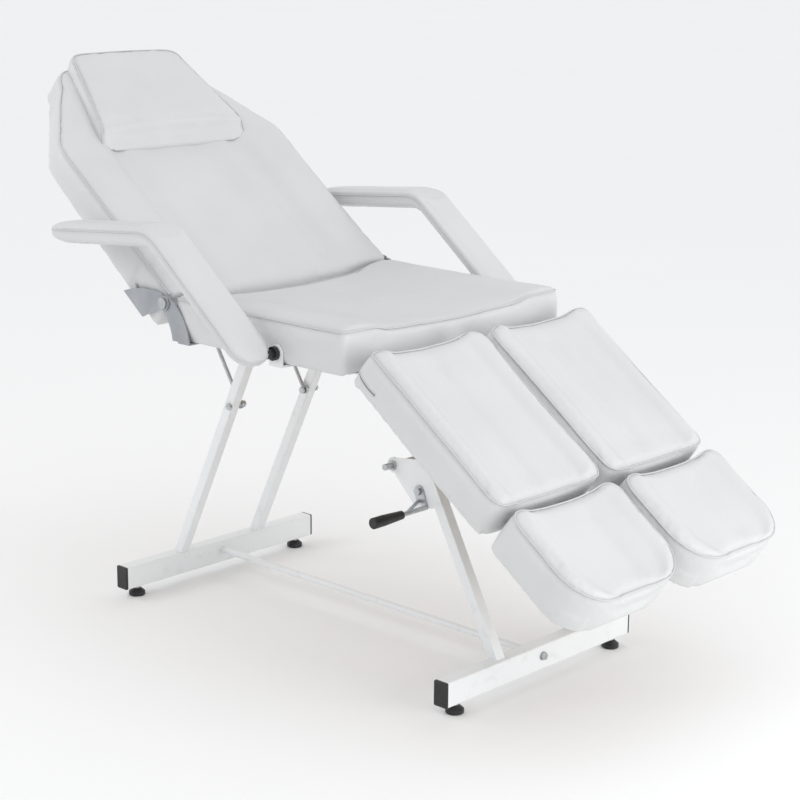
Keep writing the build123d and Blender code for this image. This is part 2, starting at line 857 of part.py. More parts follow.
def back_bottom_at(u):
    """The underside rises a little towards the head."""
    share = (u - back_start) / (back_end - back_start)
    return back_bottom_v + share * (back_head_bottom_v - back_bottom_v)


def back_stations(squared_head):
    """Stations of the back pad. A squared head runs on past the end, as a tool to shape the pillow."""
    stations = []
    for y, half, bottom, seam, dish in rounded_end(back_start, 1, back_half_width, back_bottom_v,
                                                   back_seam_v, back_dish_half, end_rounding):
        stations.append((y, half, back_bottom_at(y), seam, dish))
    for u, half in ((back_shoulder - leg_corner, back_half_width),
                    (back_shoulder, back_half_width - side_bow),
                    (back_neck, back_neck_half_width)):
        stations.append((u, half, back_bottom_at(u), back_seam_v, back_dish_half * half / back_half_width))
    head_dish = back_dish_half * back_head_half_width / back_half_width
    if squared_head:
        for u in (back_end - back_head_corner, pillow_end + back_head_corner):
            stations.append((u, back_head_half_width, back_bottom_at(u), back_seam_v, head_dish))
        return stations
    head = rounded_end(back_end, -1, back_head_half_width, back_bottom_at(back_end), back_seam_v, head_dish,
                       back_head_corner)
    for u, half, bottom, seam, dish in head[::-1]:
        stations.append((u, half, back_bottom_at(u), seam, dish))
    return stations


def back_cushion():
    pad = upholstered_pad(back_stations(False), dish_depth)
    for u in leaf_bolt_places():
        pad -= rod_x(leaf_sleeve_radius + hair_gap, -back_half_width - side_bow, back_half_width + side_bow,
                     u, back_rail_v)
    return pad - back_recess()


def back_outline(inset):
    """Plan outline of the board and its recess, in X and u."""
    right = [
        (back_half_width - inset, back_start + inset),
        (back_half_width - inset, back_shoulder - inset),
        (back_neck_half_width - inset, back_neck - inset / 2),
        (back_head_half_width - inset, back_end - back_head_corner),
        (back_head_half_width - back_head_corner, back_end - inset),
    ]
    left = [(-x, u) for x, u in right]
    return Polygon(*right, *left[::-1], align=None)


def back_board_bottom_v():
    return back_rail_v + rail_side / 2


def back_recess():
    high = back_board_bottom_v() + board_thickness + board_gap
    low = back_bottom_v - cut_over
    return Pos(0, 0, low) * extrude(back_outline(skirt_thickness + side_bow), high - low)


def back_board():
    inset = skirt_thickness + side_bow + board_inset
    return Pos(0, 0, back_board_bottom_v()) * extrude(back_outline(inset), board_thickness)


def back_frame():
    """Welded frame with an end plate at each side and a pair of ears for each stay."""
    low_v = back_rail_v - rail_side / 2
    high_v = back_rail_v + rail_side / 2
    half = rail_side / 2
    rails = [((side * back_rail_x - half, back_rail_start, low_v),
              (side * back_rail_x + half, back_rail_end, high_v))
             for side in (-1, 1)]
    for low_u in (stay_rail_u - half, back_rail_end - rail_side):
        rails.append(((-back_rail_x - half, low_u, low_v), (back_rail_x + half, low_u + rail_side, high_v)))
    reach = end_plate_x() - end_plate_thickness
    rails.append(((-reach, back_rail_start, low_v), (reach, back_rail_start + rail_side, high_v)))
    frame = rail_frame(rails)
    for side in (-1, 1):
        plate = box_between((reach, back_rail_start, low_v), (end_plate_x(), back_leaf_length, high_v))
        frame += side_of(plate, side)
        for u in leaf_bolt_places():
            hole = rod_x(leaf_bolt_radius + screw_clearance, reach - rail_wall - cut_over,
                         end_plate_x() + cut_over,
                         u, back_rail_v)
            frame -= side_of(hole, side)
        for offset in stay_ear_offsets():
            frame += stay_ear(side * stay_x + offset)
    return frame


def stay_ear_offsets():
    inner = sleeve_width / 2 + stay_ear_gap
    return (-inner - stay_ear_thickness, inner)


def stay_ear(low_x):
    """One ear of a stay's bracket, from the cross rail to the pin."""
    rail_face = stay_rail_u - rail_side / 2
    inner_u = rail_face - stay_ear_radius
    outline = hull_of_circles([
        (stay_head_u, stay_head_v, stay_ear_radius), (inner_u, back_rail_v, stay_ear_radius * 0.99),
    ])
    outline += Pos(inner_u, back_rail_v) * Rectangle(
        stay_ear_radius, 2 * stay_ear_radius, align=(Align.MIN, Align.CENTER))
    ear = plate_x(outline, low_x, stay_ear_thickness)
    return ear - rod_x(stay_pin_radius, low_x - cut_over, low_x + stay_ear_thickness + cut_over,
                       stay_head_u, stay_head_v)


def stay_pins():
    """Rivets on which the sleeves turn, one in each pair of ears."""
    reach = sleeve_width / 2 + stay_ear_gap + stay_ear_thickness
    solids = []
    for side in (-1, 1):
        pin = rod_x(stay_pin_radius, side * stay_x - reach, side * stay_x + reach, stay_head_u, stay_head_v)
        for end in (-1, 1):
            low = side * stay_x + (reach if end > 0 else -reach - washer_thickness)
            pin += rod_x(stay_pin_radius * 1.5, low, low + washer_thickness, stay_head_u, stay_head_v)
        solids.append(pin)
    return group(solids)


def back_place():
    return Location((0, hinge_y, hinge_z), (back_angle, 0, 0))


def on_back(u, v):
    """A point of the back's own frame, in the chair's Y and Z."""
    turn = math.radians(back_angle)
    return (hinge_y + u * math.cos(turn) - v * math.sin(turn),
            hinge_z + u * math.sin(turn) + v * math.cos(turn))


# Stays of the back.

def stay_line():
    """Angle and length from the stay's foot to its head, at rest."""
    head_y, head_z = on_back(stay_head_u, stay_head_v)
    run, rise = head_y - stay_foot_y, head_z - stay_foot_z
    return math.degrees(math.atan2(rise, run)), math.hypot(run, rise)


def stay_rod(side):
    """Round rod with a flat eye, laid along +Y from its foot and then turned into place."""
    eye = rod_x(stay_eye_radius, side * stay_x - stay_eye_thickness / 2,
                side * stay_x + stay_eye_thickness / 2, 0, 0)
    rod = rod_y(stay_rod_radius, stay_eye_radius * 0.88, stay_rod_length, side * stay_x, 0)
    piece = eye + rod
    piece -= rod_x(stay_pin_radius + stay_pin_clearance, side * stay_x - stay_eye_radius,
                   side * stay_x + stay_eye_radius, 0, 0)
    angle, _ = stay_line()
    return Location((0, stay_foot_y, stay_foot_z), (angle, 0, 0)) * piece


def rectangular_sleeve(x, width, height, wall, length, tail, pin_radius):
    """Sleeve along -Y from its pin, with a wide bore and a tail past the pin."""
    outer = box_between((x - width / 2, -length, -height / 2), (x + width / 2, tail, height / 2))
    inner = box_between((x - width / 2 + wall, -length - cut_over, -height / 2 + wall),
                        (x + width / 2 - wall, tail + cut_over, height / 2 - wall))
    sleeve = outer - inner
    return sleeve - rod_x(pin_radius + stay_pin_clearance, x - width, x + width, 0, 0)


def stay_sleeve(side):
    sleeve = rectangular_sleeve(side * stay_x, sleeve_width, sleeve_height, sleeve_wall, sleeve_length,
                                sleeve_tail, stay_pin_radius)
    head_y, head_z = on_back(stay_head_u, stay_head_v)
    angle, _ = stay_line()
    return Location((0, head_y, head_z), (angle, 0, 0)) * sleeve


def stay_foot_bolts():
    """Bolts through the rear struts, on which the stay rods turn, each with a spacer ring at the strut."""
    solids = []
    outer = strut_x + strut_side / 2
    inner = stay_x - stay_eye_thickness / 2 - washer_thickness
    for side in (-1, 1):
        bolt = rod_x(stay_pin_radius, inner - nut_height, outer, stay_foot_y, stay_foot_z)
        bolt += hexagon_x(bolt_head_flats, outer, outer + bolt_head_height, stay_foot_y, stay_foot_z)
        bolt += hexagon_x(bolt_head_flats, inner - nut_height, inner - hair_gap, stay_foot_y, stay_foot_z)
        ring_low = stay_x + stay_eye_thickness / 2 + hair_gap
        ring_high = strut_x - strut_side / 2
        ring = rod_x(stay_eye_radius * 0.8, ring_low, ring_high, stay_foot_y, stay_foot_z)
        ring -= rod_x(stay_pin_radius + bolt_clearance, ring_low - cut_over, ring_high + cut_over,
                      stay_foot_y, stay_foot_z)
        solids += [side_of(bolt, side), side_of(ring, side)]
    return group(solids)


# Leg section, flat, from its hinge axis. The pads lie along -Y.

def leg_pad_middle():
    return (leg_half_gap + leg_half_width) / 2


def leg_pad_half():
    return (leg_half_width - leg_half_gap) / 2


def leg_cushion(side):
    half = leg_pad_half()
    middle = side * leg_pad_middle()
    upper = rounded_end(-leg_start, -1, half, leg_bottom_v, leg_seam_v, leg_dish_half, leg_corner)
    lower = rounded_end(-leg_end, 1, half, leg_bottom_v, leg_seam_v, leg_dish_half, leg_corner)
    pad = upholstered_pad(upper + lower[::-1], leg_dish_depth, middle)
    reach = half - skirt_thickness - side_bow
    pad -= box_between(
        (middle - reach, -leg_end + skirt_thickness, leg_bottom_v - cut_over),
        (middle + reach, -leg_start - skirt_thickness, leg_board_top_v() + board_gap),
    )
    for x in foot_tube_xs(side):
        radius = foot_tube_radius + skirt_clearance
        low = -leg_end - cut_over
        high = -leg_end + 2 * skirt_thickness
        pad -= rod_y(radius, low, high, x, foot_tube_v)
        pad -= box_between((x - radius, low, leg_bottom_v - cut_over), (x + radius, high, foot_tube_v))
    return pad - leg_frame_slots(side)


def leg_rail_bottom_v():
    return leg_bottom_v - skirt_clearance


def leg_board_top_v():
    return leg_rail_bottom_v() + rail_side + board_thickness


def leg_board(side):
    middle = side * leg_pad_middle()
    reach = leg_pad_half() - skirt_thickness - side_bow - board_inset
    return box_between(
        (middle - reach, -leg_end + skirt_thickness + board_inset, leg_board_top_v() - board_thickness),
        (middle + reach, -leg_start - skirt_thickness - board_inset, leg_board_top_v()),
    )


def leg_rails():
    """Cross rail at the hinge, two inner and two outer rails, and a short rail for the stay."""
    low_v = leg_rail_bottom_v()
    high_v = low_v + rail_side
    half = rail_side / 2
    rails = [((-leg_rail_x - half, -leg_rail_start - rail_side, low_v),
              (leg_rail_x + half, -leg_rail_start, high_v))]
    low_w = leg_stay_w + leg_stay_eye + half
    rails.append(((-leg_inner_rail_x - half, -low_w - rail_side, low_v),
                  (leg_inner_rail_x + half, -low_w, high_v)))
    for x in (-leg_rail_x, -leg_inner_rail_x, leg_inner_rail_x, leg_rail_x):
        rails.append(((x - half, -leg_rail_end, low_v), (x + half, -leg_rail_start, high_v)))
    return rails


def leg_frame_slots(side):
    """Notches in the inner skirts where the cross rails pass from one pad to the other."""
    notches = None
    for low, high in leg_rails()[:2]:
        notch = box_between(
            (-leg_pad_middle(), low[1] - skirt_clearance, leg_bottom_v - cut_over),
            (leg_pad_middle(), high[1] + skirt_clearance, high[2] + skirt_clearance),
        )
        notches = notch if notches is None else notches + notch
    return notches


def leg_frame():
    """Welded leg frame with the ears of the leg stay."""
    frame = rail_frame(leg_rails())
    rail_face = -(leg_stay_w + leg_stay_eye + rail_side / 2)
    inner = leg_sleeve_width / 2 + stay_ear_gap
    low_v = leg_rail_bottom_v()
    foot_w = rail_face - rail_side / 2
    outline = hull_of_circles([
        (-leg_stay_w, leg_stay_v, leg_stay_eye), (foot_w, low_v - leg_stay_eye * 0.9, leg_stay_eye * 0.8),
    ])
    notch = Rectangle(2 * rail_side, rail_side, align=(Align.MIN, Align.MIN))
    outline -= Pos(rail_face - rail_side, low_v) * notch
    outline += Pos(foot_w, low_v) * Rectangle(
        rail_side / 2, leg_stay_eye, align=(Align.CENTER, Align.MAX))
    for low_x in (-inner - stay_ear_thickness, inner):
        ear = plate_x(outline, low_x, stay_ear_thickness)
        ear -= rod_x(leg_stay_pin_radius, low_x - cut_over, low_x + stay_ear_thickness + cut_over,
                     -leg_stay_w, leg_stay_v)
        frame += ear
    return frame


def leg_stay_pin():
    reach = leg_sleeve_width / 2 + stay_ear_gap + stay_ear_thickness
    pin = rod_x(leg_stay_pin_radius, -reach, reach, -leg_stay_w, leg_stay_v)
    for low in (-reach - washer_thickness, reach):
        pin += rod_x(leg_stay_pin_radius * 1.5, low, low + washer_thickness, -leg_stay_w, leg_stay_v)
    return pin


def foot_tube_xs(side):
    return [side * leg_pad_middle() - foot_tube_offset, side * leg_pad_middle() + foot_tube_offset]


def slide_guides():
    """Short tubes on the leg boards, in which the bars of the foot pads run."""
    solids = []
    outer = foot_tube_radius + foot_tube_clearance + guide_wall
    for side in (-1, 1):
        for x in foot_tube_xs(side):
            low = -leg_rail_end + rail_side / 2
            guide = rod_y(outer, low, low + guide_length, x, foot_tube_v)
            top = leg_board_top_v() - board_thickness
            guide += box_between((x - outer, low, foot_tube_v), (x + outer, low + guide_length, top))
            guide -= rod_y(foot_tube_radius + foot_tube_clearance, low - cut_over,
                           low + guide_length + cut_over,
                           x, foot_tube_v)
            solids.append(guide)
    return group(solids)


def leg_place():
    return Location((0, leg_hinge_y, leg_hinge_z), (leg_angle, 0, 0))


# Leg hinge: knuckles under the front rail of the seat and under the first rail of the legs.

def seat_knuckles():
    """Outer knuckles with a leaf under the front rail of the seat frame."""
    solids = []
    top = seat_rail_bottom_z()
    for side in (-1, 1):
        middle = side * knuckle_x
        piece = None
        for offset in (-1, 1):
            low = middle + offset * (knuckle_length + knuckle_gap) - knuckle_length / 2
            ring = rod_x(knuckle_radius, low, low + knuckle_length, leg_hinge_y, leg_hinge_z)
            leaf = box_between((low, leg_hinge_y, top - knuckle_leaf),
                               (low + knuckle_length, seat_front_rail_y + rail_side / 2, top))
            piece = ring + leaf if piece is None else piece + ring + leaf
        reach = knuckle_length * 1.5 + knuckle_gap
        tie = box_between((middle - reach, seat_front_rail_y - rail_side / 2, top - knuckle_leaf),
                          (middle + reach, seat_front_rail_y + rail_side / 2, top))
        piece += tie
        piece -= rod_x(knuckle_bore, middle - reach - cut_over, middle + reach + cut_over,
                       leg_hinge_y, leg_hinge_z)
        solids.append(piece)
    return group(solids)


def leg_knuckles():
    """Middle knuckle with a leaf under the first rail of the leg frame, in the leg's own frame."""
    solids = []
    top = leg_rail_bottom_v()
    for side in (-1, 1):
        low = side * knuckle_x - knuckle_length / 2
        piece = rod_x(knuckle_radius, low, low + knuckle_length, 0, 0)
        piece += box_between((low, -leg_rail_start - rail_side, top - knuckle_leaf),
                             (low + knuckle_length, 0, top))
        piece -= rod_x(knuckle_bore + knuckle_clearance, low - cut_over,
                       low + knuckle_length + cut_over, 0, 0)
        solids.append(piece)
    return group(solids)


def knuckle_pins():
    solids = []
    reach = knuckle_length * 1.5 + knuckle_gap
    for side in (-1, 1):
        solids.append(rod_x(knuckle_bore, side * knuckle_x - reach, side * knuckle_x + reach,
                            leg_hinge_y, leg_hinge_z))
    return group(solids)


# Leg stay.

def on_leg(w, v):
    """A point of the leg's own frame, in the chair's Y and Z."""
    turn = math.radians(leg_angle)
    return (leg_hinge_y - w * math.cos(turn) - v * math.sin(turn),
            leg_hinge_z - w * math.sin(turn) + v * math.cos(turn))


def leg_stay_line():
    head_y, head_z = on_leg(leg_stay_w, leg_stay_v)
    run, rise = head_y - shaft_y, head_z - shaft_z
    return math.degrees(math.atan2(rise, run)), math.hypot(run, rise)


def leg_stay_rod():
    """Rod with a barrel that turns on the cross shaft."""
    barrel = rod_x(leg_stay_eye, -leg_stay_eye_width / 2, leg_stay_eye_width / 2, 0, 0)
    rod = rod_y(leg_stay_rod_radius, leg_stay_eye / 2, leg_stay_rod_length, 0, 0)
    piece = barrel + rod
    piece -= rod_x(shaft_radius + stay_pin_clearance, -leg_stay_eye_width, leg_stay_eye_width, 0, 0)
    angle, _ = leg_stay_line()
    return Location((0, shaft_y, shaft_z), (angle, 0, 0)) * piece


def leg_stay_sleeve():
    sleeve = rectangular_sleeve(0, leg_sleeve_width, leg_sleeve_height, sleeve_wall, leg_sleeve_length,
                                leg_sleeve_tail, leg_stay_pin_radius)
    head_y, head_z = on_leg(leg_stay_w, leg_stay_v)
    angle, _ = leg_stay_line()
    return Location((0, head_y, head_z), (angle, 0, 0)) * sleeve


# Foot sections.

def foot_stations(side):
    """Rounded end at the foot, square end at the leg."""
    half = leg_pad_half()
    upper = rounded_end(-foot_pad_start, -1, half, foot_bottom_v, foot_seam_v, leg_dish_half, leg_corner)
    lower = rounded_end(-foot_pad_end, 1, half, foot_bottom_v, foot_seam_v, leg_dish_half, foot_corner, 6,
                        foot_dish_taper_share)
    tip = lower[0]
    lower[0] = (tip[0], tip[1], tip[2] + foot_end_bow, tip[3], tip[4])
    return upper + lower[::-1]


def foot_cushion(side):
    half = leg_pad_half()
    middle = side * leg_pad_middle()
    pad = upholstered_pad(foot_stations(side), foot_dish_depth, middle)
    reach = half - skirt_thickness - side_bow
    recess = foot_recess_sketch(side, skirt_thickness + side_bow)
    high = foot_board_top_v() + board_gap
    low = foot_bottom_v - cut_over
    pad -= Pos(0, 0, low) * extrude(recess, high - low)
    for x in foot_tube_xs(side):
        radius = foot_tube_radius + skirt_clearance
        start = -foot_pad_start - skirt_thickness * 2
        pad -= rod_y(radius, start, -foot_pad_start + cut_over, x, foot_tube_v)
        pad -= box_between((x - radius, start, foot_bottom_v - cut_over),
                           (x + radius, -foot_pad_start + cut_over, foot_tube_v))
    return pad


def foot_recess_sketch(side, inset):
    """Plan of the board of a foot pad: straight at the leg, round at the foot."""
    middle = side * leg_pad_middle()
    reach = leg_pad_half() - inset
    high = -foot_pad_start - inset
    low = -foot_pad_end + inset
    corner = foot_corner - inset
    outline = Pos(middle, (high + low) / 2) * Rectangle(2 * reach, high - low)
    corners = outline.vertices().group_by(Axis.Y)[0]
    return fillet(corners, corner)


def foot_board_top_v():
    return foot_tube_v + foot_tube_radius + foot_board_gap + board_thickness


def foot_board(side):
    """Board with two clips that hold the bars."""
    sketch = foot_recess_sketch(side, skirt_thickness + side_bow + board_inset)
    return Pos(0, 0, foot_board_top_v() - board_thickness) * extrude(sketch, board_thickness)


def foot_slide(side):
    """Two round bars joined by a flat under the board of the foot pad."""
    low = -foot_pad_end + foot_corner
    flat_top = foot_board_top_v() - board_thickness
    piece = None
    xs = foot_tube_xs(side)
    for x in xs:
        bar = rod_y(foot_tube_radius, low, -foot_tube_inner_end, x, foot_tube_v)
        bar -= rod_y(foot_tube_radius - foot_tube_wall, low + cap_flange, -foot_tube_inner_end + cut_over,
                     x, foot_tube_v)
        piece = bar if piece is None else piece + bar
    for share in (0.12, 0.88):
        y = low + share * (-foot_pad_start - skirt_thickness - side_bow - low)
        flat = box_between((xs[0] - foot_tube_radius, y - rail_side / 2,
                            foot_tube_v + foot_tube_radius * 0.6),
                           (xs[1] + foot_tube_radius, y + rail_side / 2, flat_top))
        piece += flat
    return piece


# Arms.

def arm_line():
    """Centre line of the core: tail, pivot, bend and tip, in Y and Z."""
    rise = math.radians(arm_slope)
    drop = math.radians(arm_rest_drop)
    bend = (arm_pivot_y + arm_rise_length * math.cos(rise), arm_pivot_z + arm_rise_length * math.sin(rise))
    tail = (arm_pivot_y - arm_tail * math.cos(rise), arm_pivot_z - arm_tail * math.sin(rise))
    tip = (bend[0] + arm_rest_length * math.cos(drop), bend[1] - arm_rest_length * math.sin(drop))
    return tail, bend, tip


def arm_pad_outline():
    """Outline of the padded arm in Y and Z: thin beside the seat, thicker below the arm rest."""
    tail, bend, tip = arm_line()
    rise = math.radians(arm_slope)
    drop = math.radians(arm_rest_drop)
    half = arm_thickness / 2
    along_rise = (math.cos(rise), math.sin(rise))
    along_rest = (math.cos(drop), -math.sin(drop))

    def beside(point, along, run, out):
        return (point[0] + along[0] * run - along[1] * out, point[1] + along[1] * run + along[0] * out)

    def corner(out_rise, out_rest):
        """Where a line beside the rise meets a line beside the rest."""
        turn = rise + drop
        run = (out_rest - out_rise * math.cos(turn)) / math.sin(turn)
        return beside(bend, along_rise, run, out_rise)

    over = FilletPolyline(
        beside(tail, along_rise, -arm_end_cover, half), corner(half, half),
        beside(tip, along_rest, arm_end_cover, half), radius=arm_bend_radius + arm_thickness,
    )
    under = FilletPolyline(
        beside(tail, along_rise, -arm_end_cover, -half), corner(-half, -arm_rest_underside),
        beside(tip, along_rest, arm_end_cover, -arm_rest_underside), radius=arm_bend_radius,
    )
    return make_face(over.edges() + under.edges() + [Line(over @ 0, under @ 0), Line(over @ 1, under @ 1)])


def middle_faces(slab):
    """The faces that run across the arm, from its tail to its tip."""
    middle = arm_inner_x + arm_width / 2
    return sorted([face for face in slab.faces() if abs(face.center().X - middle) < hair_gap],
                  key=lambda face: face.center().Y)


def arm_pad(side):
    """Foam and cover round the core, with softened edges and ends that are round as seen from above."""
    slab = plate_x(arm_pad_outline(), arm_inner_x, arm_width)
    middle = middle_faces(slab)
    corners = [edge for end in (middle[0], middle[-1])
               for edge in end.edges().filter_by(Axis.X, reverse=True)]
    slab = fillet(corners, arm_width * arm_end_share)
    middle = middle_faces(slab)
    walls = [face for face in slab.faces() if face not in middle] + [middle[0], middle[-1]]
    rims = [edge for face in walls for edge in face.edges()]
    rims = [edge for edge in rims if rims.count(edge) == 1]
    slab = fillet(rims, arm_pad_edge)
    hollow = arm_core_slab(core_clearance)
    bore = rod_x(arm_hub_radius + hair_gap, arm_inner_x - cut_over, core_low_x() + core_width,
                 arm_pivot_y, arm_pivot_z)
    return side_of(slab - hollow - bore, side)


def side_of(solid, side):
    return solid if side > 0 else mirrored_x(solid)


def arm_profile(depth):
    """Outline of the dog-leg in Y and Z, with round ends and a rounded bend."""
    tail, bend, tip = arm_line()
    path = FilletPolyline(tail, bend, tip, radius=arm_bend_radius + arm_thickness / 2)
    outline = path.offset_2d(depth / 2, kind=Kind.ARC, side=Side.BOTH, closed=True)
    return make_face(outline.edges())


def core_low_x():
    return arm_inner_x + arm_width / 2 - core_width / 2


def arm_core_slab(clearance):
    depth = core_thickness + 2 * clearance
    band = arm_profile(depth)
    eye = Pos(arm_pivot_y, arm_pivot_z) * Circle(core_eye_radius + clearance)
    return plate_x(band + eye, core_low_x() - clearance, core_width + 2 * clearance)


def arm_core(side):
    core = arm_core_slab(0)
    core -= rod_x(arm_bolt_radius + arm_bolt_clearance, core_low_x() - cut_over,
                  core_low_x() + core_width + cut_over, arm_pivot_y, arm_pivot_z)
    return side_of(core, side)


def arm_bracket(side):
    """Flat bar under the seat frame, turned up beside the seat to carry the arm."""
    top = seat_rail_bottom_z()
    low_x = seat_half_width + bracket_gap
    front = arm_pivot_y - bracket_width / 2
    rear = arm_pivot_y + bracket_width / 2
    profile = Polygon(
        (seat_rail_x - rail_side / 2, top - bracket_thickness),
        (low_x + bracket_thickness, top - bracket_thickness),
        (low_x + bracket_thickness, arm_pivot_z), (low_x, arm_pivot_z), (low_x, top),
        (seat_rail_x - rail_side / 2, top), align=None,
    )
    piece = extrude(Plane.XZ.offset(-rear) * profile, rear - front, dir=(0, -1, 0))
    piece += rod_x(bracket_width / 2, low_x, low_x + bracket_thickness, arm_pivot_y, arm_pivot_z)
    piece -= rod_x(arm_bolt_radius, low_x - cut_over, low_x + bracket_thickness + cut_over,
                   arm_pivot_y, arm_pivot_z)
    piece = screw_holes(piece, top - bracket_thickness, top, 1, screw_ys()[:2])
    return side_of(piece, side)


def arm_spacers():
    """Plastic flanged bushes between the brackets and the arm cores."""
    solids = []
    low = seat_half_width + bracket_gap + bracket_thickness
    high = core_low_x() - hair_gap
    for side in (-1, 1):
        spacer = rod_x(arm_spacer_radius, low, arm_inner_x - hair_gap, arm_pivot_y, arm_pivot_z)
        spacer += rod_x(arm_hub_radius, low, high, arm_pivot_y, arm_pivot_z)
        spacer -= rod_x(arm_bolt_radius + arm_bolt_clearance, low - cut_over, high + cut_over,
                        arm_pivot_y, arm_pivot_z)
        solids.append(side_of(spacer, side))
    return group(solids)


def arm_bolts():
    """Bolts fixed in the brackets, on which the arms swing."""
    solids = []
    low = seat_half_width + bracket_gap
    high = core_low_x() + core_width
    for side in (-1, 1):
        solids.append(side_of(rod_x(arm_bolt_radius, low, high, arm_pivot_y, arm_pivot_z), side))
    return group(solids)


# Head pillow, in the back's own frame.

def pillow_wire(u, half, bottom, seam):
    """One cross-section of the pillow: flat below, round at the sides, crowned on top."""
    tuck = min(pillow_tuck, (seam - bottom) / 2)
    middle = (bottom + seam) / 2

    def at(x, v):
        return (x, u, v)

    edges = [
        Edge.make_line(at(-half + tuck, bottom), at(half - tuck, bottom)),
        Edge.make_three_point_arc(at(half - tuck, bottom), at(half, middle), at(half - tuck / 2, seam)),
        Edge.make_three_point_arc(at(half - tuck / 2, seam), at(0, seam + pillow_crown),
                                  at(-half + tuck / 2, seam)),
        Edge.make_three_point_arc(at(-half + tuck / 2, seam), at(-half, middle), at(-half + tuck, bottom)),
    ]
    return Wire(edges)


def head_pillow():
    """Wedge pillow, wider at the neck, shaped to the dish below it so that it can slide there."""
    low = back_seam_v - dish_depth - pillow_sink
    wires = []
    form_shares = (
        (0.00, 0.04, 0.06, 0.20), (0.03, 0.01, 0.00, 0.36), (0.08, 0.00, 0.00, 0.55),
        (0.13, 0.00, 0.00, 0.74), (0.17, 0.00, 0.00, 0.82), (0.21, 0.00, 0.00, 0.855),
        (0.60, 0.00, 0.00, 0.93), (0.88, 0.01, 0.00, 1.00), (0.905, 0.015, 0.47, 1.00),
        (0.93, 0.03, 0.52, 0.99), (0.965, 0.08, 0.66, 0.96), (1.00, 0.18, 0.72, 0.88),
    )
    for along, inset, low_share, high_share in form_shares:
        half = (pillow_front_half + (pillow_rear_half - pillow_front_half) * along) * (1 - inset)
        wires.append(pillow_wire(pillow_start + (pillow_end - pillow_start) * along, half,
                                 low + pillow_height * low_share, low + pillow_height * high_share))
    pillow = Solid.make_loft(wires, ruled=True)
    head = [station for station in back_stations(False) if station[0] >= back_end - back_head_corner]
    pillow = pillow - Pos(0, 0, pillow_gap) * upholstered_pad(back_stations(True), dish_depth)
    pillow = pillow - Pos(0, 0, pillow_head_gap) * upholstered_pad(head, dish_depth)
    return pillow


def build_parts():
    """Every node of the chair, in the datum of the base."""
    back = back_place()
    leg = leg_place()
    parts = {
        "floor_bar_front": floor_bar(front_bar_y),
        "floor_bar_rear": floor_bar(rear_bar_y),
        "bar_end_caps": bar_end_caps(),
        "foot_nuts": foot_nuts(),
        "front_struts": group([strut(side, front_strut_foot_y, front_strut_head_y) for side in (-1, 1)]),
        "rear_struts": group([strut(side, rear_strut_foot_y, rear_strut_head_y) for side in (-1, 1)]),
        "strut_plates": group([strut_plate(side) for side in (-1, 1)]),
        "seat_hinge_leaves": group([seat_hinge_leaf(side) for side in (-1, 1)]),
        "back_hinge_leaves": back * group([back_hinge_leaf(side) for side in (-1, 1)]),
        "leg_boards": leg * group([leg_board(side) for side in (-1, 1)]),
        "arm_brackets": group([arm_bracket(side) for side in (-1, 1)]),
        "stretcher_tube": stretcher_tube(),
        "stretcher_bolts": stretcher_bolts(),
        "seat_frame": seat_frame(),
        "frame_screws": frame_screws(),
        "seat_board": seat_board(),
        "seat_cushion": seat_cushion(),
        "cross_shaft": cross_shaft(),
        "lever_bolts": lever_bolts(),
        "hinge_bolts": hinge_bolts(),
        "stay_foot_bolts": stay_foot_bolts(),
        "seat_knuckles": seat_knuckles(),
        "knuckle_pins": knuckle_pins(),
        "arm_spacers": arm_spacers(),
        "arm_bolts": arm_bolts(),
        "back_cushion": back * back_cushion(),
        "back_board": back * back_board(),
        "back_frame": back * back_frame(),
        "leaf_bolts": back * leaf_bolts(),
        "stay_pins": back * stay_pins(),
        "head_pillow": back * head_pillow(),
        "leg_frame": leg * leg_frame(),
        "leg_knuckles": leg * leg_knuckles(),
        "leg_stay_pin": leg * leg_stay_pin(),
        "slide_guides": leg * slide_guides(),
        "leg_stay_rod": leg_stay_rod(),
        "leg_stay_sleeve": leg_stay_sleeve(),
        "lever_frame": lever_frame(),
        "lever_grip": lever_grip(),
    }
    for word, side in (("left", -1), ("right", 1)):
        parts[f"levelling_foot_front_{word}"] = levelling_foot(side, front_bar_y)
        parts[f"levelling_foot_rear_{word}"] = levelling_foot(side, rear_bar_y)
        parts[f"stay_rod_{word}"] = stay_rod(side)
        parts[f"stay_sleeve_{word}"] = stay_sleeve(side)
        parts[f"leg_cushion_{word}"] = leg * leg_cushion(side)
        parts[f"foot_cushion_{word}"] = leg * foot_cushion(side)
        parts[f"foot_board_{word}"] = leg * foot_board(side)
        parts[f"foot_slide_{word}"] = leg * foot_slide(side)
        parts[f"arm_core_{word}"] = arm_core(side)
        parts[f"arm_pad_{word}"] = arm_pad(side)
    return parts


parts = build_parts()
boxes = [part.bounding_box() for part in parts.values()]
middle_y = (min(box.min.Y for box in boxes) + max(box.max.Y for box in boxes)) / 2
centred = Pos(0, -middle_y, 0)

os.makedirs("parts", exist_ok=True)
for name, part in parts.items():
    export_step(centred * part, f"parts/{name}.step")

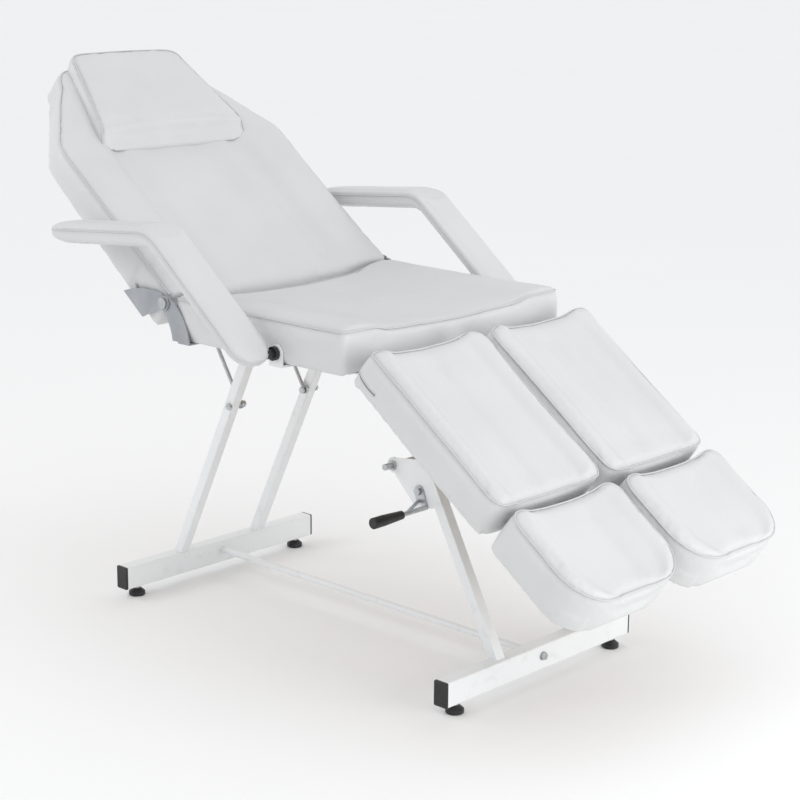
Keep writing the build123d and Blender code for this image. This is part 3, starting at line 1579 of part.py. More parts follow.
print(len(parts), "nodes")
print("shift along Y", round(-middle_y, 3))
print("back hinge", round(hinge_y - middle_y, 3), hinge_z)
print("stay foot", round(stay_foot_y - middle_y, 3), stay_foot_z)
print("stay head", [round(value, 3) for value in (on_back(stay_head_u, stay_head_v)[0] - middle_y,
                                                  on_back(stay_head_u, stay_head_v)[1])])
print("leg hinge", round(leg_hinge_y - middle_y, 3), leg_hinge_z)
print("leg shaft", round(shaft_y - middle_y, 3), shaft_z)
print("leg stay head", [round(value, 3) for value in (on_leg(leg_stay_w, leg_stay_v)[0] - middle_y,
                                                      on_leg(leg_stay_w, leg_stay_v)[1])])
print("lever bolt", round(lever_bolt_y - middle_y, 3), lever_bolt_z)
print("arm pivot", round(arm_pivot_y - middle_y, 3), arm_pivot_z)
print("feet", foot_x, round(front_bar_y - middle_y, 3), round(rear_bar_y - middle_y, 3))
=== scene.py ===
import math

import bmesh
import bpy
import numpy as np
from mathutils import Matrix, Vector
from mathutils.bvhtree import BVHTree
from mathutils.kdtree import KDTree


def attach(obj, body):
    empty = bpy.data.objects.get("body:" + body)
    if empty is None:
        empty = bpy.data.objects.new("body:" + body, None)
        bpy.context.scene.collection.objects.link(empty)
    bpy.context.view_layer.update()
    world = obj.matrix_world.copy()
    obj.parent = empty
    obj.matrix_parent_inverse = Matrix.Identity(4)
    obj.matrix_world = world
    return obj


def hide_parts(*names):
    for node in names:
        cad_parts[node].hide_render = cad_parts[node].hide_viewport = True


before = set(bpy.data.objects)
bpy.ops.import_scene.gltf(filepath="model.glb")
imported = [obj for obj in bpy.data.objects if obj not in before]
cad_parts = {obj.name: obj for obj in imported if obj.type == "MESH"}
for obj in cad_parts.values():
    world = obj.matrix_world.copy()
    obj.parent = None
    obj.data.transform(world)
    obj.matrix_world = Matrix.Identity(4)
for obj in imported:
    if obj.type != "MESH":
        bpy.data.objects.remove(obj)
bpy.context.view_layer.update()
scene = bpy.context.scene

# Camera: at the photograph's place, found by fitting the floor bars and the pads to the picture.
# It stands to the front left of the chair, a little above the pillow. The shift along Y goes from the
# frame in which the sizes were measured, with the floor bars about its middle, to the CAD's frame.
shift = -0.011612
photo_width = 800
focal_pixels = 1939.2546
azimuth = math.radians(-46.6955)
elevation = math.radians(13.8337)
roll = math.radians(0.4884)
back = Vector((math.sin(azimuth) * math.cos(elevation), -math.cos(azimuth) * math.cos(elevation),
               math.sin(elevation)))
right = (-back).cross(Vector((0, 0, 1))).normalized()
up = right.cross(-back)
turned_right = right * math.cos(roll) + up * math.sin(roll)
turned_up = up * math.cos(roll) - right * math.sin(roll)
camera = bpy.data.objects.new("camera", bpy.data.cameras.new("camera"))
scene.collection.objects.link(camera)
camera.data.sensor_width = 36
camera.data.lens = focal_pixels / photo_width * 36
camera.data.clip_end = 120
camera.matrix_world = Matrix.Translation((-2.6552, -2.5786 + shift, 1.3728)) @ Matrix(
    (turned_right, turned_up, back)).transposed().to_4x4()
scene.camera = camera
scene.view_settings.view_transform = "Standard"


# Floor and light: a pale seamless floor under large soft lamps, as in a plain product studio.
# The shader helpers that every later section uses are here too.
class Value:
    """A shader socket with arithmetic: each operator adds one Math node."""

    def __init__(self, paint, socket):
        self.paint, self.socket = paint, socket

    def _math(self, operation, *others):
        values = {index: other for index, other in enumerate((self,) + others)}
        return self.paint.node("Math", {"operation": operation}, values)

    def __add__(self, other):
        return self._math("ADD", other)

    def __rsub__(self, other):
        return self.paint.node("Math", {"operation": "SUBTRACT"}, {0: other, 1: self})

    def __mul__(self, other):
        return self._math("MULTIPLY", other)


class Paint:
    """One material and its nodes."""

    def __init__(self, name):
        self.material = bpy.data.materials.new(name)
        self.material.use_nodes = True
        self.tree = self.material.node_tree
        self.shader = self.tree.nodes["Principled BSDF"]
        self.place = self.node("TexCoord", {}, {}, "Object")

    def node(self, kind, settings, values, output=0):
        made = self.tree.nodes.new("ShaderNode" + kind)
        for name, value in settings.items():
            if name == "stops":
                for index, (position, colour) in enumerate(value):
                    stops = made.color_ramp.elements
                    stop = stops[index] if index < 2 else stops.new(position)
                    stop.position, stop.color = position, (*colour, 1)
            else:
                setattr(made, name, value)
        for name, value in values.items():
            if isinstance(value, Value):
                self.tree.links.new(value.socket, made.inputs[name])
            else:
                made.inputs[name].default_value = value
        return Value(self, made.outputs[output])

    def set(self, **values):
        for name, value in values.items():
            socket = self.shader.inputs[name.replace("_", " ")]
            if isinstance(value, Value):
                self.tree.links.new(value.socket, socket)
            else:
                socket.default_value = value
        return self.material

    def noise(self, scale, detail=3.0, stretch=(1, 1, 1)):
        where = self.node("VectorMath", {"operation": "MULTIPLY"}, {0: self.place, 1: stretch})
        return self.node("TexNoise", {}, {"Vector": where, "Scale": scale, "Detail": detail})

    def ramp(self, value, *stops):
        return self.node("ValToRGB", {"stops": stops}, {"Fac": value})

    def bump(self, height, distance, strength=1.0, after=None):
        values = {"Height": height, "Distance": distance, "Strength": strength}
        if after:
            values["Normal"] = after
        return self.node("Bump", {}, values)


def grey(value, blue=0.0):
    return (value, value + blue * 0.5, value + blue)


floor_paint = Paint("studio_floor")
tone = floor_paint.ramp(floor_paint.noise(0.6), (0.3, grey(0.945)), (0.7, grey(0.955)))
floor_paint.set(Base_Color=tone, Roughness=0.9)
floor_mesh = bpy.data.meshes.new("studio_floor")
shape = bmesh.new()
bmesh.ops.create_grid(shape, x_segments=2, y_segments=2, size=50)
shape.to_mesh(floor_mesh)
studio_floor = bpy.data.objects.new("studio_floor", floor_mesh)
scene.collection.objects.link(studio_floor)
floor_mesh.materials.append(floor_paint.material)

world = bpy.data.worlds.new("studio")
world.use_nodes = True
world.node_tree.nodes["Background"].inputs["Color"].default_value = (0.985, 0.99, 1.0, 1)
world.node_tree.nodes["Background"].inputs["Strength"].default_value = 0.93
scene.world = world
lit_point = Vector((0, -0.1, 0.5))
for name, at, size, power in (("key", (0.3, -3.2, 1.0), 1.8, 32),
                              ("side", (-1.7, 1.8, 1.7), 0.9, 7)):
    lamp = bpy.data.objects.new(name, bpy.data.lights.new(name, "AREA"))
    scene.collection.objects.link(lamp)
    lamp.data.size = size
    lamp.data.energy = power
    lamp.location = at
    lamp.rotation_mode = "QUATERNION"
    lamp.rotation_quaternion = (Vector(at) - lit_point).to_track_quat("Z", "Y")


# Base and frames: square and round steel tube, cut, welded and powder-coated satin white.
# The two floor bars carry the struts, and the seat, back and leg frames hang between them.
def dress_nodes(paint, *names, soften=0.0):
    """Gives CAD nodes a material, and where asked a fine rounding of their sharp edges."""
    for name in names:
        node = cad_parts[name]
        node.data.materials.clear()
        node.data.materials.append(paint.material)
        if soften:
            edge = node.modifiers.new("edge", "BEVEL")
            edge.width = soften
            edge.segments = 2
            edge.limit_method = "ANGLE"
            edge.angle_limit = math.radians(50)


coat = Paint("white_coat")
peel = coat.noise(420.0, 2.0)
tone = coat.ramp(coat.noise(5.0), (0.3, (0.80, 0.82, 0.835)), (0.7, (0.845, 0.86, 0.87)))
scuff = coat.ramp(coat.noise(38.0, 5.0), (0.60, grey(1.0)), (0.72, grey(0.93)))
tone = coat.node("Mix", {"data_type": "RGBA", "blend_type": "MULTIPLY"},
                 {0: 1.0, 6: tone, 7: scuff}, 2)
coat.set(Base_Color=tone, Roughness=coat.noise(60.0) * 0.12 + 0.26,
         Normal=coat.bump(peel, 0.00012, 0.5), Coat_Weight=0.15)
dress_nodes(coat, "floor_bar_front", "floor_bar_rear", "front_struts", "rear_struts", "strut_plates",
            "seat_frame", "back_frame", "leg_frame", "seat_knuckles", "leg_knuckles", "stay_sleeve_left",
            "stay_sleeve_right", "leg_stay_sleeve", "arm_brackets", soften=0.0005)
dress_nodes(coat, "stretcher_tube")

# Hinge plates at the sides of the seat and the back: pressed steel, coated mid grey.
# The seat leaves are screwed under the seat frame, and the back leaves turn on a shouldered bolt.
plate = Paint("grey_plate")
tone = plate.ramp(plate.noise(26.0, 4.0), (0.3, (0.34, 0.36, 0.385)), (0.7, (0.41, 0.43, 0.455)))
plate.set(Base_Color=tone, Roughness=plate.noise(80.0) * 0.2 + 0.3, Metallic=0.3,
          Normal=plate.bump(plate.noise(300.0), 0.0001, 0.5))
dress_nodes(plate, "seat_hinge_leaves", "back_hinge_leaves", soften=0.0004)

# Fasteners, stay rods, slide bars, arm cores and the lever's rods: zinc-plated steel with a soft,
# uneven shine. Nuts, bolts and pins hold the stretcher, the hinges, the stays and the lever.
zinc = Paint("zinc")
tone = zinc.ramp(zinc.noise(90.0, 4.0), (0.3, (0.44, 0.455, 0.47)), (0.7, (0.60, 0.615, 0.63)))
zinc.set(Base_Color=tone, Roughness=zinc.noise(140.0) * 0.2 + 0.24, Metallic=0.95,
         Normal=zinc.bump(zinc.noise(500.0, 2.0, (1, 0.1, 0.1)), 0.00006, 0.5))
dress_nodes(zinc, "foot_nuts", "stretcher_bolts", "cross_shaft", "lever_bolts", "frame_screws",
            "hinge_bolts", "knuckle_pins", "arm_bolts", "stay_foot_bolts", "leaf_bolts", "stay_pins",
            "leg_stay_pin", "stay_rod_left", "stay_rod_right", "leg_stay_rod", "foot_slide_left",
            "foot_slide_right", "arm_core_left", "arm_core_right", "lever_frame", soften=0.0003)

# End caps, levelling feet, bushes, slide guides and the lever's grip: moulded black plastic.
# The caps plug the floor bars, and the feet screw into nuts in them.
black = Paint("black_plastic")
tone = black.ramp(black.noise(40.0), (0.3, (0.012, 0.012, 0.013)), (0.7, (0.024, 0.024, 0.026)))
black.set(Base_Color=tone, Roughness=black.noise(90.0) * 0.2 + 0.36,
          Normal=black.bump(black.noise(900.0), 0.0001, 0.6))
dress_nodes(black, "bar_end_caps", "arm_spacers", "slide_guides", "lever_grip",
            "levelling_foot_front_left", "levelling_foot_front_right", "levelling_foot_rear_left",
            "levelling_foot_rear_right", soften=0.0006)

# Boards: birch plywood under the foam of each section, screwed to its frame, grain across the chair.
board = Paint("plywood")
grain = board.noise(24.0, 6.0, (0.25, 4, 4))
tone = board.ramp(grain, (0.3, (0.42, 0.28, 0.15)), (0.7, (0.60, 0.43, 0.26)))
board.set(Base_Color=tone, Roughness=board.noise(60.0) * 0.2 + 0.55,
          Normal=board.bump(grain, 0.0003, 0.5))
dress_nodes(board, "seat_board", "back_board", "leg_boards", "foot_board_left", "foot_board_right")


# Seat cushion: foam on a board, wrapped in white artificial leather with a piped seam round the top.
# The cover swells between its seams and dips in the middle.
def leather(name):
    """White artificial leather: fine grain, soft creases and painted shade near the seams, a satin
    finish.
    """
    paint = Paint(name)
    grain = paint.node("TexVoronoi", {"feature": "SMOOTH_F1"}, {"Vector": paint.place, "Scale": 620.0})
    broad = paint.noise(7.0, 2.0)
    seam = paint.node("Attribute", {"attribute_name": "seam"}, {}, "Fac")
    pucker = paint.noise(85.0, 2.0)
    tone = paint.ramp(broad, (0.25, (0.635, 0.646, 0.647)), (0.75, (0.675, 0.683, 0.684)))
    # Painted shade: the colour darkens by a tenth within about a centimetre of each seam, where the cover
    # is drawn in.
    painted_seam_shade = paint.ramp(seam, (0.0, grey(0.90, 0.01)), (0.22, grey(1.0)))
    colour = paint.node("Mix", {"data_type": "RGBA", "blend_type": "MULTIPLY"},
                        {0: 1.0, 6: tone, 7: painted_seam_shade}, 2)
    creases = paint.bump(pucker * (1 - seam), 0.003, 0.45)
    finish = paint.bump(grain, 0.0002, 0.45, creases)
    paint.set(Base_Color=colour, Roughness=paint.noise(30.0) * 0.16 + 0.36, Normal=finish)
    return paint.material


def local_frame(angle, y, z):
    return Matrix.Translation((0, y, z)) @ Matrix.Rotation(math.radians(angle), 4, "X")


def coordinates(mesh):
    co = np.empty(len(mesh.vertices) * 3)
    mesh.vertices.foreach_get("co", co)
    return co.reshape(-1, 3)


def moved(points, matrix):
    turn = np.array(matrix.to_3x3())
    return points @ turn.T + np.array(matrix.translation)


def apply_modifiers(obj):
    """Replaces the object's mesh by what its modifiers give."""
    graph = bpy.context.evaluated_depsgraph_get()
    made = bpy.data.meshes.new_from_object(obj.evaluated_get(graph))
    obj.modifiers.clear()
    obj.data = made


def swollen(node, name, voxel, cap, place, keep):
    """The pad of a CAD node, remeshed and blown up a little as cloth.

    keep(points) gives, in the pad's own frame, how far each point may follow the cloth, from 0 to 1.
    """
    pad = bpy.data.objects.new(name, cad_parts[node].data.copy())
    scene.collection.objects.link(pad)
    remesh = pad.modifiers.new("remesh", "REMESH")
    remesh.mode = "VOXEL"
    remesh.voxel_size = voxel
    smooth = pad.modifiers.new("smooth", "SMOOTH")
    smooth.iterations = 5
    smooth.factor = 0.5
    apply_modifiers(pad)
    before = coordinates(pad.data)
    normals = np.empty(before.size)
    pad.data.vertices.foreach_get("normal", normals)
    tuck = 0.0015
    pad.data.vertices.foreach_set("co", (before - normals.reshape(-1, 3) * tuck).ravel())
    frames = 20
    cloth = pad.modifiers.new("cloth", "CLOTH")
    cloth.settings.use_pressure = True
    cloth.settings.uniform_pressure_force = 4
    cloth.settings.effector_weights.gravity = 0
    cloth.settings.mass = 0.35
    cloth.settings.quality = 4
    cloth.point_cache.frame_end = frames
    for number in range(1, frames + 1):
        scene.frame_set(number)
    apply_modifiers(pad)
    scene.frame_set(1)
    own = moved(before, place.inverted())
    move = coordinates(pad.data) - before
    length = np.linalg.norm(move, axis=1, keepdims=True)
    move *= np.minimum(1, cap / np.maximum(length, 1e-9)) * keep(own)[:, None]
    pad.data.vertices.foreach_set("co", (before + move).ravel())
    return pad


def rounded_line(corners, radii, step=0.006):
    """Points along a closed line in a plane, with each corner rounded. The corners are (x, y)."""
    shape = bmesh.new()
    ring = [shape.verts.new((x, y, 0)) for x, y in corners]
    shape.faces.new(ring)
    for vert, radius in zip(list(ring), radii):
        bmesh.ops.bevel(shape, geom=[vert], offset=radius, offset_type="OFFSET", affect="VERTICES",
                        segments=10, profile=0.5, material=-1)
    points = []
    outline = [loop.vert.co.copy() for loop in shape.faces[:][0].loops]
    for first, second in zip(outline, outline[1:] + outline[:1]):
        count = max(1, round((second - first).length / step))
        points += [first.lerp(second, index / count) for index in range(count)]
    shape.free()
    return points


def piping(name, pad, points, radius, material, body, sink=0.25, closed=True):
    """A round welt sewn in the seam: it follows the nominal line, pulled on to the swollen cover."""
    tree = BVHTree.FromPolygons([vert.co for vert in pad.data.vertices],
                                [face.vertices[:] for face in pad.data.polygons])
    curve = bpy.data.curves.new(name, "CURVE")
    curve.dimensions = "3D"
    curve.bevel_depth = radius
    curve.bevel_resolution = 2
    line = curve.splines.new("POLY")
    line.points.add(len(points) - 1)
    line.use_cyclic_u = closed
    on_pad = [tree.find_nearest(point)[:2] for point in points]
    on_pad = [place + normal * radius * (0.5 - sink) for place, normal in on_pad]
    for _ in range(3):
        eased = [(on_pad[index - 1] + on_pad[index] * 2 + on_pad[(index + 1) % len(on_pad)]) / 4
                 for index in range(len(on_pad))]
        on_pad = eased if closed else on_pad[:1] + eased[1:-1] + on_pad[-1:]
    for index, place in enumerate(on_pad):
        line.points[index].co = (*place, 1)
    welt = bpy.data.objects.new(name, curve)
    scene.collection.objects.link(welt)
    curve.materials.append(material)
    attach(welt, body)
    return on_pad


def sew(pad, seams, depth=0.0012, reach=0.007, far=0.045):
    """Draws the cover in along its seams and keeps the distance to them for the material's painted seam
    shade and creases.
    """
    tree = KDTree(len(seams))
    for index, point in enumerate(seams):
        tree.insert(point, index)
    tree.balance()
    layer = pad.data.attributes.new("seam", "FLOAT", "POINT")
    near = np.empty(len(pad.data.vertices))
    for vert in pad.data.vertices:
        gap = tree.find(vert.co)[2]
        near[vert.index] = min(1, gap / far)
        if gap < reach * 3:
            vert.co -= vert.normal * depth * math.exp(-(gap / reach) ** 2)
    layer.data.foreach_set("value", near)


def dress(pad, node, material, body):
    """Smooths the pad once more, paints it and puts it in place of its CAD node."""
    for face in pad.data.polygons:
        face.use_smooth = True
    divide = pad.modifiers.new("divide", "SUBSURF")
    divide.levels = divide.render_levels = 1
    apply_modifiers(pad)
    pad.data.materials.clear()
    pad.data.materials.append(material)
    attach(pad, body)
    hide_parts(node)


def along(points, step=0.004):
    """Points set close together along an open line of a few corners."""
    line = []
    for first, second in zip(points, points[1:]):
        count = max(1, round((second - first).length / step))
        line += [first.lerp(second, index / count) for index in range(count)]
    return line + [points[-1]]


def opened(points):
    """The same points, starting after the widest gap of their ring."""
    gaps = [(point - points[index - 1]).length for index, point in enumerate(points)]
    start = gaps.index(max(gaps))
    return points[start:] + points[:start]


def soft_fold(across, centres, width, depth):
    """Height of long soft folds in the cover, at the given distances across the pad."""
    return sum(-depth * np.exp(-((across - centre) / width) ** 2) for centre in centres)


pad_leather = leather("pad_leather")
seat_place = local_frame(0, shift, 0)
pad_half_width = 0.305
seam_half_width = 0.3
welt = 0.0017


def seat_keep(own):
    """Keeps the hollow for the board and the frame as it is."""
    inside = (np.abs(own[:, 0]) < 0.296) & (own[:, 1] > -0.214) & (own[:, 1] < 0.228)
    return np.where(inside & (own[:, 2] < 0.628), 0, 1)


seat = swollen("seat_cushion", "seat_cover", 0.0065, 0.005, seat_place, seat_keep)
own = moved(coordinates(seat.data), seat_place.inverted())
top = np.clip((own[:, 2] - 0.64) / 0.012, 0, 1)
ends = np.clip((0.224 - np.abs(own[:, 1] - 0.007)) / 0.06, 0, 1)
own[:, 2] += top * ends * soft_fold(own[:, 0], (-0.12, 0.02, 0.14), 0.035, 0.0022)
own[:, 0] = np.clip(own[:, 0], -pad_half_width, pad_half_width)
own[:, 1] = np.clip(own[:, 1], -0.2245, 0.2385)
seat.data.vertices.foreach_set("co", moved(own, seat_place).ravel())
line = rounded_line([(-seam_half_width, -0.219), (seam_half_width, -0.219),
                     (seam_half_width, 0.233), (-seam_half_width, 0.233)], [0.014] * 4)
line = [seat_place @ Vector((p.x, p.y, 0.671)) for p in line]
sewn = piping("seat_piping", seat, line, welt, pad_leather, "base")
sew(seat, sewn)
dress(seat, "seat_cushion", pad_leather, "base")

# Back pad: one long pad with a dished middle and raised sides that narrows to the head.
# It is made like the seat, with a piped seam round its upper face and long soft folds down the middle.
back_place = local_frame(37.3, 0.256 + shift, 0.661)


def back_keep(own):
    """Keeps the hollow as it is. It narrows to the head like the pad."""
    inside = np.abs(own[:, 0]) < 0.293 - np.clip(own[:, 1] - 0.42, 0, 1) * 0.55
    inside &= (own[:, 1] > 0.008) & (own[:, 1] < 0.64) & (own[:, 2] < -0.013)
    return np.where(inside, 0, 1)


back_pad = swollen("back_cushion", "back_cover", 0.0072, 0.005, back_place, back_keep)
own = moved(coordinates(back_pad.data), back_place.inverted())
top = np.clip((own[:, 2] + 0.012) / 0.012, 0, 1)
ends = np.clip(own[:, 1] / 0.05, 0, 1) * np.clip((0.6 - own[:, 1]) / 0.1, 0, 1)
narrowing = 1 - np.clip(own[:, 1] - 0.40, 0, 1) * 1.4
own[:, 2] += top * ends * soft_fold(own[:, 0] / narrowing, (-0.160, 0.160), 0.024, 0.0075)
own[:, 2] += top * ends * soft_fold(own[:, 0] / narrowing, (-0.07, 0.06), 0.030, 0.0022)
own[:, 0] = np.clip(own[:, 0], -pad_half_width, pad_half_width)
own[:, 1] = np.clip(own[:, 1], -0.004, 0.656)
back_pad.data.vertices.foreach_set("co", moved(own, back_place).ravel())
right_side = [(seam_half_width, 0.006), (seam_half_width, 0.428),
              (0.226, 0.545), (0.184, 0.608), (0.150, 0.648)]
line = rounded_line(right_side + [(-x, y) for x, y in right_side[::-1]],
                    [0.001, 0.03, 0.03, 0.02, 0.03, 0.03, 0.02, 0.03, 0.03, 0.001])
line = opened([p for p in line if abs(p.x) > seam_half_width - 0.003 or p.y > 0.02])
line = [back_place @ Vector((p.x, p.y, 0.0155)) for p in line]
sewn = piping("back_piping", back_pad, line, welt, pad_leather, "back", closed=False)
for side in (-1, 1):
    knot = back_place @ Vector((side * pad_half_width, 0.099, -0.033))
    for far in ((0.105, 0.009), (0.101, -0.064), (0.060, -0.020)):
        sewn += along([knot, back_place @ Vector((side * pad_half_width, *far))])
sew(back_pad, sewn)
dress(back_pad, "back_cushion", pad_leather, "back")

# Head pillow: a loose wedge-shaped pillow that lies in the dish of the back. Its piping runs up the front
# corners, along the sides and round the head end, and its top bends down in front without a seam.
pillow = swollen("head_pillow", "pillow_cover", 0.0035, 0.005, back_place,
                 lambda own: np.clip((own[:, 2] - 0.014) / 0.02, 0, 1))
own = moved(coordinates(pillow.data), back_place.inverted())
bend_out = 0.0035 * np.exp(-((own[:, 1] - 0.440) / 0.009) ** 2)
bend_out = bend_out * np.clip((own[:, 2] - 0.02) / 0.015, 0, 1)
own[:, 2] += bend_out
own[:, 1] -= bend_out
pillow.data.vertices.foreach_set("co", moved(own, back_place).ravel())
front_edge = [(0.2, 0.409, 0.004), (0.2, 0.414, 0.019), (0.196, 0.428, 0.031), (0.188, 0.446, 0.0395)]
rear_corner = [(0.141, 0.640, 0.0475), (0.134, 0.654, 0.048), (0.118, 0.660, 0.0485)]
half_line = [Vector(point) for point in front_edge + rear_corner]
whole = half_line + [Vector((-point.x, point.y, point.z)) for point in half_line[::-1]]
line = [back_place @ point for point in along(whole)]
sewn = piping("pillow_piping", pillow, line, 0.0015, pad_leather, "pillow", closed=False)
sew(pillow, sewn)
dress(pillow, "head_pillow", pad_leather, "pillow")

# Leg pads: one for each leg, on the hinged leg frame, each with a piped seam and soft long folds.
# The foot pads below them have a half-round outer end and slide out on bars.
leg_place = local_frame(36.1, -0.229 + shift, 0.586)
leg_middle = 0.156
leg_inner, leg_outer = -0.1525, 0.149
corner_push = 0.016


def leg_keep(middle, far, near):
    """Gives the function that keeps the hollow of one leg or foot pad as it is."""
    def keep(own):
        inside = (own[:, 1] > far + 0.010) & (own[:, 1] < near - 0.010) & (own[:, 2] < 0.042)
        return np.where(inside & (np.abs(own[:, 0] - middle) < 0.139), 0, 1)
    return keep


def widened(own, middle, side):
    """Lets the inner edge of a leg or foot pad swell towards the other leg's."""
    inner = np.clip((-side * (own[:, 0] - middle) - 0.10) / 0.04, 0, 1)
    return own[:, 0] - side * inner * np.clip((own[:, 2] - 0.035) / 0.03, 0, 1) * 0.004


for word, side in (("left", -1), ("right", 1)):
    middle = side * leg_middle
    leg = swollen("leg_cushion_" + word, "leg_cover_" + word, 0.006, 0.0045, leg_place,
                  leg_keep(middle, -0.386, -0.005))
    own = moved(coordinates(leg.data), leg_place.inverted())
    top = np.clip((own[:, 2] - 0.055) / 0.012, 0, 1)
    ends = np.clip((0.19 - np.abs(own[:, 1] + 0.1955)) / 0.06, 0, 1)
    own[:, 2] += top * ends * soft_fold(own[:, 0] - middle, (-0.012,), 0.018, 0.0065)
    own[:, 2] += top * ends * soft_fold(own[:, 0] - middle, (-0.09, 0.09), 0.016, 0.0030)
    own[:, 0] = widened(own, middle, side)
    square = np.clip((side * (own[:, 0] - middle) - 0.117) / 0.032, 0, 1)
    square = square * np.clip((own[:, 1] + 0.037) / 0.032, 0, 1)
    own[:, 0] += side * square * corner_push
    own[:, 1] += square * corner_push
    own[:, 0] = np.clip(side * (own[:, 0] - middle), leg_inner, leg_outer) * side + middle
    own[:, 1] = np.clip(own[:, 1], -0.3865, -0.0020)
    leg.data.vertices.foreach_set("co", moved(own, leg_place).ravel())
    inner, outer = middle - side * 0.148, middle + side * 0.144
    line = rounded_line([(inner, -0.381), (outer, -0.381), (outer, -0.007), (inner, -0.007)],
                        [0.03, 0.03, 0.010, 0.03])
    line = [leg_place @ Vector((p.x, p.y, 0.083)) for p in line]
    sewn = piping("leg_piping_" + word, leg, line, welt, pad_leather, "leg_rest")
    sew(leg, sewn)
    dress(leg, "leg_cushion_" + word, pad_leather, "leg_rest")

    foot = swollen("foot_cushion_" + word, "foot_cover_" + word, 0.0055, 0.0045, leg_place,
                   leg_keep(middle, -0.618, -0.394))
    own = moved(coordinates(foot.data), leg_place.inverted())
    top = np.clip((own[:, 2] - 0.062) / 0.012, 0, 1)
    ends = np.clip((0.11 - np.abs(own[:, 1] + 0.506)) / 0.05, 0, 1)
    own[:, 2] += top * ends * soft_fold(own[:, 0] - middle, (0.03,), 0.018, 0.0055)
    own[:, 0] = widened(own, middle, side)
    own[:, 0] = np.clip(side * (own[:, 0] - middle), leg_inner, leg_outer) * side + middle
    own[:, 1] = np.clip(own[:, 1], -0.622, -0.3935)
    foot.data.vertices.foreach_set("co", moved(own, leg_place).ravel())
    line = rounded_line([(inner, -0.612), (outer, -0.612), (outer, -0.399), (inner, -0.399)],
                        [0.082, 0.082, 0.028, 0.028])
    line = [leg_place @ Vector((p.x, p.y, 0.0915)) for p in line]
    sewn = piping("foot_piping_" + word, foot, line, welt, pad_leather, "foot_rest_" + word)
    sew(foot, sewn)
    dress(foot, "foot_cushion_" + word, pad_leather, "foot_rest_" + word)

# Slit on the outer side of the near leg pad: a short opening in the cover with a welt on each lip.
# It lies just below the seat, and the opening between the lips is a thin dark curve, a painted shadow.
# Painted shadow: a near-black paint for the curve that stands for the shade inside the opening.
slit_painted_shadow = Paint("slit_painted_shadow")
tone = slit_painted_shadow.ramp(slit_painted_shadow.noise(300.0), (0.3, grey(0.10)), (0.7, grey(0.16)))
slit_painted_shadow.set(Base_Color=tone, Roughness=slit_painted_shadow.noise(200.0) * 0.2 + 0.6)
near_leg = bpy.data.objects["leg_cover_left"]
for name, offset, radius, paint in (("slit_opening_shadow", 0.0, 0.0010, slit_painted_shadow.material),
                                    ("slit_upper_lip", 0.0022, 0.0013, pad_leather),
                                    ("slit_lower_lip", -0.0022, 0.0013, pad_leather)):
    line = [(-0.014, 0.0390), (-0.024, 0.0350), (-0.038, 0.0330), (-0.052, 0.0330), (-0.066, 0.0345)]
    line = along([leg_place @ Vector((-pad_half_width, y, z + offset)) for y, z in line])
    piping(name, near_leg, line, radius, paint, "leg_rest", closed=False)

# Arms: a bent steel core inside foam, wrapped in the same leather, with a seam round their sides.
# Each one hangs on a bolt beside the seat and can be swung out of the way.
rise, drop = math.radians(38.9), math.radians(5)
pivot = Vector((-0.056 + shift, 0.612))
riser_way = Vector((math.cos(rise), math.sin(rise)))
riser_side = Vector((-math.sin(rise), math.cos(rise)))
rest_way = Vector((math.cos(drop), -math.sin(drop)))
rest_side = Vector((math.sin(drop), math.cos(drop)))
bend = pivot + riser_way * 0.318
seam_rise, seam_rest = 0.005, 0.002
tail = pivot - riser_way * 0.020 + riser_side * seam_rise
tip = bend + rest_way * 0.310 + rest_side * seam_rest
run = (seam_rest - seam_rise * math.cos(rise + drop)) / math.sin(rise + drop)
knee = bend + riser_way * run + riser_side * seam_rise
before, after = (tail - knee).normalized() * 0.03 + knee, (tip - knee).normalized() * 0.03 + knee
arm_bend = [before.lerp(knee, t).lerp(knee.lerp(after, t), t) for t in (0, 0.2, 0.4, 0.6, 0.8, 1)]
arm_bend = [tail] + arm_bend + [tip]
arm_inner, arm_outer, arm_middle = 0.319, 0.411, 0.365
end_radius = 0.0423
lengths = [0.0]
for first, second in zip(arm_bend, arm_bend[1:]):
    lengths.append(lengths[-1] + (second - first).length)


def on_arm(x, run):
    """A point of the arm's side seam, at a distance along the bent line from the tail."""
    y = np.interp(run, lengths, [p.x for p in arm_bend])
    z = np.interp(run, lengths, [p.y for p in arm_bend])
    return Vector((x, y, z))


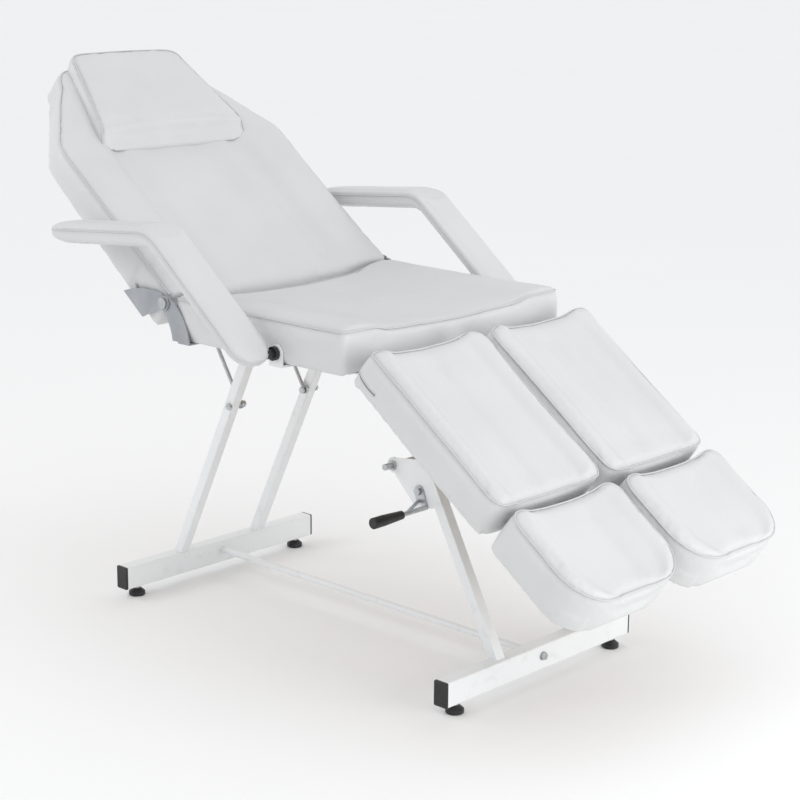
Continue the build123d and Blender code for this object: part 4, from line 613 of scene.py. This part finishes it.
def pinched(points, side):
    """Draws the arm's rest in towards its seam at the rounded tip, and its lower end a little."""
    line = np.array([(p.x, p.y) for p in arm_bend])
    best = np.full(len(points), 1e9)
    run, height = np.zeros(len(points)), np.zeros(len(points))
    foot, normal = np.zeros((len(points), 2)), np.zeros((len(points), 2))
    for index, (first, second) in enumerate(zip(line, line[1:])):
        way = (second - first) / np.linalg.norm(second - first)
        low = -1 if index == 0 else 0
        high = 1 if index == len(line) - 2 else np.linalg.norm(second - first)
        share = np.clip((points[:, 1:] - first) @ way, low, high)
        near = first + share[:, None] * way
        gap = np.linalg.norm(points[:, 1:] - near, axis=1)
        side_way = np.array((-way[1], way[0]))
        closer = gap < best
        best[closer] = gap[closer]
        run[closer] = lengths[index] + share[closer]
        height[closer] = ((points[:, 1:] - near) @ side_way)[closer]
        foot[closer], normal[closer] = near[closer], side_way
    across = np.maximum(np.abs(points[:, 0] - side * arm_middle) - 0.0037, 0)
    for end, sign, weight, reach in ((lengths[-1], 1, 0.75, 0.024), (0.0, -1, 0.35, 0.016)):
        past = np.maximum(sign * (run - end) + end_radius, 0)
        inside = np.clip((end_radius - np.hypot(across, past)) / reach, 0, 1)
        near_end = np.clip((sign * (run - end) + 0.075) / 0.05, 0, 1)
        height *= 1 - weight * near_end * (1 - np.sqrt(1 - (1 - inside) ** 2))
    points[:, 1:] = foot + height[:, None] * normal
    return points


for word, side in (("left", -1), ("right", 1)):
    arm = swollen("arm_pad_" + word, "arm_cover_" + word, 0.0045, 0.003, seat_place,
                  lambda own: np.clip((np.abs(own[:, 0]) - 0.322) / 0.004, 0, 1))
    own = pinched(coordinates(arm.data), side)
    own[:, 0] = side * np.clip(side * own[:, 0], arm_inner, arm_outer)
    arm.data.vertices.foreach_set("co", own.ravel())
    line = [(arm_inner, 0), (arm_outer, 0), (arm_outer, lengths[-1]), (arm_inner, lengths[-1])]
    line = rounded_line(line, [end_radius] * 4)
    line = [on_arm(side * p.x, p.y) for p in line]
    sewn = piping("arm_piping_" + word, arm, line, 0.0012, pad_leather, "arm_" + word)
    sew(arm, sewn, 0.0008, 0.005)
    dress(arm, "arm_pad_" + word, pad_leather, "arm_" + word)
